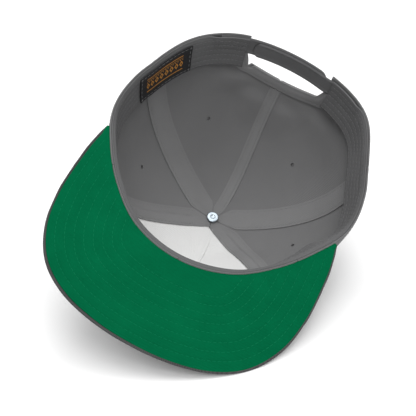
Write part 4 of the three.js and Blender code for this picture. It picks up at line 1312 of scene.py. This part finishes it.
class CAP_OT_button(bpy.types.Operator):
    """Make the covered button on the top, and the rivet inside it"""
    bl_idname = "cap.button"
    bl_label = "Button and Rivet"

    def execute(self, context):
        cloth = material_of("crown_twill", cloth_material, context.scene.cap_crown.cloth)
        radius, height, side, gap = (BUTTON[key] for key in ("radius", "height", "side", "gap"))
        angles = np.radians(np.linspace(0, 90, 22))
        dome = np.stack([radius * np.cos(angles), gap + side + (height - side) * np.sin(angles)], 1)[:-1]
        profile = [(0, gap), (radius - 2.5, gap), (radius - 1, gap), (radius - 0.35, gap + 0.25),
                   (radius, gap + 0.8), *dome.tolist(), (0, gap + height)]

        def gathers(angle, ring):
            fold = np.sin(angle * GATHERS["folds"] + GATHERS["uneven"] * np.sin(angle * GATHERS["waves"]))
            return GATHERS["deep"] * fold * smoothstep(ring, GATHERS["from"], radius) * (ring < radius - 0.01)

        new_piece("top_button_cloth", turned("top_button", profile, 96, gathers), cloth, "crown_cloth",
                  ["top_button"])
        metal = material_of("rivet_metal", metal_material, context.scene.cap_strap.metal)
        face, back, edge, dish = (RIVET[key] for key in ("face", "back", "edge", "dish"))
        bends = np.radians(np.linspace(0, 90, 7))
        rolled = [(RIVET["radius"] - edge + edge * math.sin(a), face + edge - edge * math.cos(a))
                  for a in bends]
        dished = [(RIVET["dish_from"] + RIVET["dish_wide"] * math.sin(a), face + dish * math.cos(a))
                  for a in bends]
        rivet = [(0, face + dish), (RIVET["dish_flat"], face + dish), *dished, (2.9, face - 0.02), *rolled,
                 (RIVET["radius"], back), (RIVET["stem"], back), (RIVET["stem"], 0), (0, 0)]
        new_piece("button_rivet_metal", turned("button_rivet", rivet, 72), metal, "rivet_metal",
                  ["button_rivet"])
        return {"FINISHED"}


# Strap

STRAP = {"foot": 0.3, "head": 14.8, "thick": 1.0, "outer": 1.8, "clear": 0.3, "round_end": 7.2, "blunt": 0.25,
         "slope": 0.5, "slope_to": 1.2}
RAISED_EDGE = {"at": 0.9, "wide": 0.55, "sunk": 0.4, "sinks": (1.4, 2.4)}
SOCKET_SIDE = {"start": 146.0, "end": 196.6}
SNAP_SIDE = {"start": 162.5, "end": 214.0, "narrower": 1.6, "ease_from": 196.1, "ease_to": 202.3}
PEGS = {"count": 7, "first": 167.0, "step": 4.1, "clear": 0.4, "reach": 0.8, "root": 0.3}
PEG_UP = (STRAP["foot"] + STRAP["head"]) / 2
# Turns of the columns near a round end, from its tip.
ROUND_STEPS = np.degrees(7.4 * (1 - np.cos(np.linspace(0, math.pi / 2, 16))) / 98)


def strap_mesh(name, turns, free_turn, depth, foot):
    """Half of the strap: a thin band with raised long edges and one round end."""
    from_end = np.abs(turns - free_turn) * np.radians(1) * rim_radius(turns)
    from_end = np.clip(from_end, STRAP["blunt"], STRAP["round_end"])
    widest = (STRAP["head"] - foot) / 2
    middle = STRAP["head"] - widest
    half = np.minimum(widest, np.sqrt(STRAP["round_end"] ** 2 - (STRAP["round_end"] - from_end) ** 2))
    rows = middle + half[:, None] * np.sin(np.linspace(-math.pi / 2, math.pi / 2, 25))
    rib = bpy.context.scene.cap_strap.rib / MM

    def inner(turn, up):
        edge = widest - np.abs(up - middle)
        slope = STRAP["slope"] * (1 - np.clip((up - foot) / STRAP["slope_to"], 0, 1))
        raised = bell(edge - RAISED_EDGE["at"], RAISED_EDGE["wide"])
        raised = raised - RAISED_EDGE["sunk"] * smoothstep(edge, *RAISED_EDGE["sinks"])
        return depth(turn) + STRAP["thick"] + rib * raised - slope

    return band_wall(name, turns, rows, lambda turn, up: depth(turn), inner)


class CAP_OT_strap(bpy.types.Operator):
    """Make the two halves of the plastic strap and their snap pegs"""
    bl_idname = "cap.strap"
    bl_label = "Snap Strap"

    def execute(self, context):
        settings = context.scene.cap_strap
        plastic = material_of("strap_plastic", plastic_material, settings.plastic)
        peg_turns = PEGS["first"] + PEGS["step"] * np.arange(PEGS["count"])
        outside = STRAP["outer"]
        inside = outside + STRAP["thick"] + STRAP["clear"]

        def socket_depth(turn):
            return np.full(turn.shape, outside)

        def snap_depth(turn):
            return inside + (outside - inside) * smoothstep(turn, SNAP_SIDE["ease_from"], SNAP_SIDE["ease_to"])

        start, end = SOCKET_SIDE["start"], SOCKET_SIDE["end"]
        turns = np.concatenate([np.linspace(start, end - ROUND_STEPS[-1], 80)[:-1], (end - ROUND_STEPS)[::-1]])
        socket = strap_mesh("strap_socket_side", turns, end, socket_depth, STRAP["foot"])
        hole = settings.peg / MM + PEGS["clear"]
        holes = [plug(turn, PEG_UP, hole, -2, 5, 40) for turn in peg_turns]
        new_piece("strap_socket_side_plastic", cut(socket, holes), plastic, "strap_plastic",
                  ["strap_socket_side"])

        start, end = SNAP_SIDE["start"], SNAP_SIDE["end"]
        turns = np.concatenate([start + ROUND_STEPS, np.linspace(start + ROUND_STEPS[-1], end, 80)[1:]])
        snap = strap_mesh("strap_snap_side", turns, start, snap_depth, STRAP["foot"] + SNAP_SIDE["narrower"])
        new_piece("strap_snap_side_plastic", snap, plastic, "strap_plastic", ["strap_snap_side"])

        out, root = (place(crown_at(peg_turns, PEG_UP, depth)) for depth in (
            outside - PEGS["reach"], inside + PEGS["root"]))
        lengths = np.linalg.norm(out - root, axis=1, keepdims=True)
        tree = bpy.data.node_groups.get("snap_pegs") or peg_tool()
        run_tool("snap_pegs", (out + root) / 2, [], tree, {
            "Radius": settings.peg, "Height": float(lengths.mean()), "Plastic": plastic}, "strap_plastic",
            (out - root) / lengths)
        return {"FINISHED"}


# Bill

# Heights of the board's faces and the under cloth's, above the bill's middle surface.
BOARD = {"inset": 0.8, "under": 1.2, "top": 3.2, "lip": 0.75, "lip_wide": 0.6, "rounded": 0.35}
UNDER = {"outer": 0.12, "inner": 0.9, "swell": 0.12, "stitches": 0.2, "end_gap": 0.15}
TOP_STITCHES_UP = 3.02
PULL_WIDE = 0.8
CROWN_CLEAR, MEETS_CROWN = 4, 0.3


def bill_reach(turn):
    steps = np.abs(turn) / BILL_END_TURN * (len(BILL_REACH) - 1)
    first = np.clip(np.floor(steps).astype(int), 0, len(BILL_REACH) - 2)
    longer = np.append(BILL_REACH, 2 * BILL_REACH[-1] - BILL_REACH[-2])
    a, b, c, d = longer[np.abs(first - 1)], longer[first], longer[first + 1], longer[first + 2]
    return between(a, b, c, d, steps - first) - spline(BILL_TRIM, (turn / BILL_END_TURN + 1) / 2)


def bill_plan(turn, reach):
    angle = np.radians(turn)
    return np.stack([reach * np.sin(angle), -reach * np.cos(angle)], -1)


def bill_point(plan, above):
    height = bill_height(plan[..., 0], plan[..., 1]) + above
    return np.concatenate([plan, height[..., None]], -1)


OUTLINE_TURNS = np.linspace(-BILL_END_TURN, BILL_END_TURN, 700)
BILL_OUTLINE = bill_plan(OUTLINE_TURNS, bill_reach(OUTLINE_TURNS))


def from_edge(plan):
    """Millimetres from each place on the bill to its edge."""
    nearest = [np.hypot(*(BILL_OUTLINE[:, None] - part[None]).transpose(2, 0, 1)).min(0)
               for part in np.array_split(plan.reshape(-1, 2), 40)]
    return np.concatenate(nearest).reshape(plan.shape[:-1])


def stitch_offsets():
    settings = bpy.context.scene.cap_bill
    return settings.first / MM + settings.spacing / MM * np.arange(settings.rows)


def quilting(distance):
    """How far the rows of stitches pull the bill's cloth in."""
    pull = sum(bell(distance - at, PULL_WIDE) for at in stitch_offsets())
    return bpy.context.scene.cap_bill.quilting / MM * pull


def bill_rows(above):
    """The rows of stitches, each at its own distance from the bill's edge, kept clear of the crown."""
    rows = []
    along = np.gradient(BILL_OUTLINE, axis=0)
    inward = np.stack([-along[:, 1], along[:, 0]], -1)
    inward /= np.linalg.norm(inward, axis=1, keepdims=True)
    middle = len(inward) // 2
    if inward[middle] @ BILL_OUTLINE[middle] > 0:
        inward = -inward
    for offset in stitch_offsets():
        line = BILL_OUTLINE + inward * offset
        turn = np.degrees(np.arctan2(line[:, 0], -line[:, 1]))
        keep = (np.hypot(*line.T) > rim_radius(turn) + CROWN_CLEAR) & (from_edge(line) > offset - 0.15)
        rows.append(bill_point(line[keep], above))
    return rows


def bill_grid(turns, inset):
    """A plan of the bill from the crown to some millimetres inside its edge, with close rows near the edge."""
    share = np.concatenate([np.linspace(0, 0.9, 46), 1 - 0.1 * (1 - np.linspace(0, 1, 20)[1:]) ** 1.5])
    start = rim_radius(turns) + MEETS_CROWN
    width = bill_reach(turns) - start
    reach = start[:, None] + (width - np.minimum(inset, 0.4 * width))[:, None] * share
    return bill_plan(turns[:, None], reach)


class CAP_OT_bill(bpy.types.Operator):
    """Make the bill: its stiff board in the outer cloth, and the cloth under it"""
    bl_idname = "cap.bill"
    bl_label = "Bill"

    def execute(self, context):
        settings = context.scene.cap_bill
        # The board's outer cloth is painted darker along the bill's edge and over its faces up to 2 to 3.5 mm in from
        # it: painted shade on the edge strip.
        outer_cloth = material_of("bill_twill", cloth_material, settings.cloth, thread=0.55, mottle=0.05,
                                  fade=-0.6)
        under = material_of("under_twill", cloth_material, settings.under, thread=0.6, mottle=0.09, patch=60.0,
                            relief=0.3, weave=0.4, specular=0.0)
        plan = bill_grid(np.linspace(-BILL_END_TURN, BILL_END_TURN, 241), BOARD["inset"])
        distance = from_edge(plan)
        rounded = BOARD["rounded"] * bell(distance - 0.9, 0.9)
        top = bill_point(plan, BOARD["top"] - quilting(distance) - rounded)
        lip = BOARD["lip"] * bell(distance - BOARD["inset"], BOARD["lip_wide"])
        bottom = bill_point(plan, BOARD["under"] - lip)
        # Painted shade: the faces near the bill's edge take the darker edge tone.
        mesh = wall("bill_board", bottom, top, plan, crease=60, faces_wear_and_shade=1 - smoothstep(distance, 2.0, 3.5))
        new_piece("bill_board_cloth", mesh, outer_cloth, "bill_cloth", ["bill_board"])

        end = BILL_END_TURN - UNDER["end_gap"]
        turns = np.linspace(-end, end, 241)
        plan = bill_grid(turns, spline(UNDER_INSET, (turns / BILL_END_TURN + 1) / 2))
        distance = from_edge(plan)
        swell = UNDER["swell"] * np.sin(np.pi * np.clip((distance - 2) / 3, 0, 1) / 2)
        outer = bill_point(plan, UNDER["outer"] - swell + quilting(distance))
        inner = bill_point(plan, np.full(distance.shape, UNDER["inner"]))
        new_piece("bill_under_cloth_twill", wall("bill_under_cloth", outer, inner, plan), under, "under_cloth",
                  ["bill_under_cloth"])
        grey = grey_thread()
        green = material_of("green_thread", thread_material, settings.under_thread, specular=0.03)
        stitch("bill_under_stitches", bill_rows(UNDER["stitches"]), green, "under_cloth")
        stitch("bill_top_stitches", bill_rows(TOP_STITCHES_UP), grey, "bill_cloth")
        return {"FINISHED"}


# Sewing on the outside of the crown

RIM_ROWS = {"ups": (3.5, 21.0), "end": 157}
# One thread of an eyelet's stitched ring, from the hole outward: reach from its middle and depth.
EYELET_RING = ((0.12, 0.2), (0.6, 0.0), (1.1, -0.35), (1.6, -0.55), (2.4, -0.5), (3.1, -0.2), (3.3, 0.2))
EYELET_THREADS = {"count": 72, "thick": 0.14, "half": 0.045, "widens": 0.03}


def seam_rows():
    """A row of stitches to each side of every seam, left out where the arch is open."""
    topstitch = bpy.context.scene.cap_crown.topstitch / MM
    rows = []
    for panel in PANELS:
        grid = panel_grid(panel["start"], panel["end"], SEAM_GAP, 60, np.linspace(0.012, 0.93, 160))
        up = up_at(*grid[:2])
        for end, way in ((0, 1), (-1, -1)):
            turn, rise = grid[0][end], grid[1][end]
            turn = turn + way * turn_of(topstitch, turn, rise)
            off = turn % 360 - 180
            within = np.clip(off, -ARCH["left"], ARCH["right"])
            clear = (np.abs(off) > arch_half(off) + 1) | (up[end] > arch_up(within) + 1.5)
            turn, rise = turn[clear], rise[clear]
            rows.append(crown_point(turn, rise, panel_depth(turn, rise, np.full(len(turn), topstitch))))
    return rows


def eyelet_lines(turn, up):
    """The threads round an eyelet, each one a line over its edge."""
    depth = soft_hollows(np.array([turn]), up)
    centre, deeper = (crown_at(np.array([turn]), up, depth + more)[0] for more in (0, 1))
    inward = deeper - centre
    side = np.cross(inward, [0, 0, 1.0])
    side /= np.linalg.norm(side)
    other = np.cross(inward, side)
    other /= np.linalg.norm(other)
    for angle in np.linspace(0, 2 * np.pi, EYELET_THREADS["count"], endpoint=False):
        arm = side * math.cos(angle) + other * math.sin(angle)
        yield np.stack([centre + arm * reach + inward * deep for reach, deep in EYELET_RING])


def thread_over(line, start):
    """Points and faces of a three-sided thread that follows a line, numbered from start."""
    points, count = [], len(line)
    across = np.cross(line[-1] - line[1], line[0] - line[1])
    across /= np.linalg.norm(across)
    for k, point in enumerate(line):
        lift = np.cross(line[min(k + 1, count - 1)] - line[max(k - 1, 0)], across)
        lift *= EYELET_THREADS["thick"] / np.linalg.norm(lift)
        half = EYELET_THREADS["half"] + EYELET_THREADS["widens"] * k
        points += [point - across * half, point + lift, point + across * half]
    last = start + 3 * (count - 1)
    faces = []
    for at in range(start, last, 3):
        faces += [[at, at + 3, at + 4, at + 1], [at + 1, at + 4, at + 5, at + 2], [at + 2, at + 5, at + 3, at]]
    return points, faces + [[start, start + 1, start + 2], [last, last + 2, last + 1]]


class CAP_OT_outer_sewing(bpy.types.Operator):
    """Make the stitches on the outside of the crown: beside the seams, along the rim and round the eyelets"""
    bl_idname = "cap.outer_sewing"
    bl_label = "Outer Stitches"

    def execute(self, context):
        rows = seam_rows()
        turns = np.linspace(-RIM_ROWS["end"], RIM_ROWS["end"], 700)
        for up in RIM_ROWS["ups"]:
            rows.append(crown_at(turns, up, soft_hollows(turns, up)))
        stitch("crown_stitches", rows, grey_thread(), "crown_cloth")
        points, faces = [], []
        for panel in PANELS:
            for line in eyelet_lines(*panel["eyelet"]):
                more_points, more_faces = thread_over(line, len(points))
                points += more_points
                faces += more_faces
        mesh = mesh_of("eyelet_rings", place(np.array(points)), faces, np.zeros((len(points), 2)))
        shape = bmesh.new()
        shape.from_mesh(mesh)
        bmesh.ops.recalc_face_normals(shape, faces=shape.faces)
        shape.to_mesh(mesh)
        shape.free()
        new_piece("eyelet_rings", mesh, grey_thread(), "crown_cloth")
        return {"FINISHED"}


# The sheets of cloth: how each one is held, what it lies on, and the narrow pieces sewn to it.
SHEETS = table(
    "name held on with",
    ("front_left_panel", "stretched", ["buckram_left"], ["seam_tape_front_cloth"]),
    ("front_right_panel", "stretched", ["buckram_right"], []),
    ("side_left_panel", "stretched", ["seam_tape_front_left"], []),
    ("side_right_panel", "stretched", ["seam_tape_front_right"], []),
    ("back_left_panel", "stretched", ["seam_tape_back_left"], ["arch_binding_cloth"]),
    ("back_right_panel", "stretched", ["seam_tape_back_right"], ["seam_tape_back_cloth"]),
    ("buckram_left", "laid", ["front_left_panel"], []),
    ("buckram_right", "laid", ["front_right_panel"], []),
    ("seam_tape_front_left", "laid", ["front_left_panel", "side_left_panel"], []),
    ("seam_tape_front_right", "laid", ["front_right_panel", "side_right_panel"], []),
    ("seam_tape_back_left", "laid", ["side_left_panel", "back_left_panel"], []),
    ("seam_tape_back_right", "laid", ["side_right_panel", "back_right_panel"], []),
    ("sweatband", "folded", ["front_left_panel", "front_right_panel"], []),
    ("label", "laid", ["sweatband"], []),
    ("bill_under_cloth", "stretched", ["bill_board"], []),
)


def declare_sheets():
    """Tells the frame which pieces are sheets of cloth, with their flat sizes."""
    for sheet in SHEETS:
        name = sheet["name"]
        piece = bpy.data.objects[name + ("_twill" if name == "bill_under_cloth" else "_cloth")]
        flat = FLAT[name]
        left = sum(face.area for face in piece.data.polygons) / flat["surface"]
        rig.sheet(piece, flat=(flat["width"], flat["length"]), held=sheet["held"], rests_on=sheet["on"],
                 area=flat["area"] * left, with_pieces=[bpy.data.objects[part] for part in sheet["with"]])


# Stage

# Camera in the row frame, where the photograph was taken from: place in metres, and its axes.
CAMERA_PLACE = (0.25822, -0.50863, 0.31658)
CAMERA_RIGHT = (0.88749, 0.46082, 0.0)
CAMERA_UP = (-0.19107, 0.36808, 0.90995)

# Soft lights round the cap, in metres from it as the camera sees it, with their shares of the lights' power.
SOFT_LIGHTS = table(
    "name right away high wide share",
    ("top_light", 0.0, 0.0, 1.6, 1.4, 0.44),
    ("front_light", 0.1, -1.2, 1.1, 1.0, 0.32),
    ("back_light", -0.1, 1.2, 1.1, 1.0, 0.22),
    ("left_light", -1.2, 0.2, 1.0, 1.0, 0.08),
    ("right_light", 1.2, 0.2, 1.0, 1.0, 0.14),
)
LIGHTS_AIM_HIGH = 0.05
FLOOR_HALF = 4.0


class CAP_OT_stage(bpy.types.Operator):
    """Make the floor, the soft light and the camera"""
    bl_idname = "cap.stage"
    bl_label = "Stage"

    def execute(self, context):
        settings = context.scene.cap_stage
        scene = context.scene
        scene.view_settings.view_transform = "Standard"
        mesh = bpy.data.meshes.new("floor")
        corners = [(x * FLOOR_HALF, y * FLOOR_HALF, 0) for x, y in ((-1, -1), (1, -1), (1, 1), (-1, 1))]
        mesh.from_pydata(corners, [], [(0, 1, 2, 3)])
        floor = bpy.data.objects.new("floor", mesh)
        scene.collection.objects.link(floor)
        material, tree, *_ = new_material("pale_floor")
        finish_material(tree, {
            "Base Color": shade(settings.floor), "Roughness": 0.9, "Specular IOR Level": 0.1,
            "Emission Color": (1, 1, 1, 1), "Emission Strength": settings.glow})
        mesh.materials.append(material)
        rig.stage(floor)

        world = bpy.data.worlds.new("soft_light")
        world.use_nodes = True
        sky = world.node_tree.nodes["Background"].inputs
        sky[0].default_value, sky[1].default_value = (1, 1, 1, 1), settings.sky
        scene.world = world
        across = Vector(CAMERA_RIGHT).normalized()
        away = Vector((0, 0, 1)).cross(across)
        for row in SOFT_LIGHTS:
            lamp = bpy.data.lights.new(row["name"], "AREA")
            lamp.energy, lamp.size = row["share"] * settings.key, row["wide"]
            light = bpy.data.objects.new(row["name"], lamp)
            light.location = across * row["right"] + away * row["away"] + Vector((0, 0, row["high"]))
            aim = Vector((0, 0, LIGHTS_AIM_HIGH)) - light.location
            light.rotation_euler = aim.to_track_quat("-Z", "Y").to_euler()
            scene.collection.objects.link(light)

        lens = bpy.data.cameras.new("camera")
        lens.sensor_width, lens.lens = 36.0, settings.lens
        lens.clip_start, lens.clip_end = 0.01, 50.0
        camera = bpy.data.objects.new("camera", lens)
        up = Vector(CAMERA_UP).normalized()
        turned_to = Matrix((across, up, across.cross(up))).transposed().to_4x4()
        camera.matrix_world = Matrix.Translation(CAMERA_PLACE) @ turned_to
        scene.collection.objects.link(camera)
        scene.camera = camera
        return {"FINISHED"}


OPERATORS = (CAP_OT_panels, CAP_OT_linings, CAP_OT_tapes, CAP_OT_arch, CAP_OT_sweatband, CAP_OT_label,
             CAP_OT_button, CAP_OT_strap, CAP_OT_bill, CAP_OT_outer_sewing, CAP_OT_stage)
SETTINGS = {
    "cap_crown": CapCrownSettings, "cap_band": CapBandSettings, "cap_bill": CapBillSettings,
    "cap_strap": CapStrapSettings, "cap_sewing": CapSewingSettings, "cap_stage": CapStageSettings,
}


class CAP_PT_sidebar(bpy.types.Panel):
    """Lists the cap's pieces and settings"""
    bl_idname = "CAP_PT_sidebar"
    bl_label = "Flat Bill Cap"
    bl_space_type = "VIEW_3D"
    bl_region_type = "UI"
    bl_category = "Cap"

    def draw(self, context):
        for operator in OPERATORS:
            self.layout.operator(operator.bl_idname)
        for name in SETTINGS:
            box = self.layout.box()
            settings = getattr(context.scene, name)
            for label in settings.__annotations__:
                box.prop(settings, label)


def register():
    for kind in (*SETTINGS.values(), *OPERATORS, CAP_PT_sidebar):
        bpy.utils.register_class(kind)
    for name, kind in SETTINGS.items():
        setattr(bpy.types.Scene, name, PointerProperty(type=kind))


def unregister():
    for name in SETTINGS:
        delattr(bpy.types.Scene, name)
    for kind in (CAP_PT_sidebar, *OPERATORS[::-1], *SETTINGS.values()):
        bpy.utils.unregister_class(kind)


def main():
    register()
    bpy.ops.cap.stage()
    bpy.ops.cap.panels()
    bpy.ops.cap.linings()
    bpy.ops.cap.tapes()
    bpy.ops.cap.arch()
    bpy.ops.cap.sweatband()
    bpy.ops.cap.label()
    bpy.ops.cap.button()
    bpy.ops.cap.strap()
    bpy.ops.cap.bill()
    bpy.ops.cap.outer_sewing()
    declare_sheets()
    boxes = {"cad": [list(corner) for corner in CAD_BOX], "visual": [list(corner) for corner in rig.bounds()]}
    with open("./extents.json", "w") as file:
        json.dump(boxes, file)


if __name__ == "__main__":
    main()
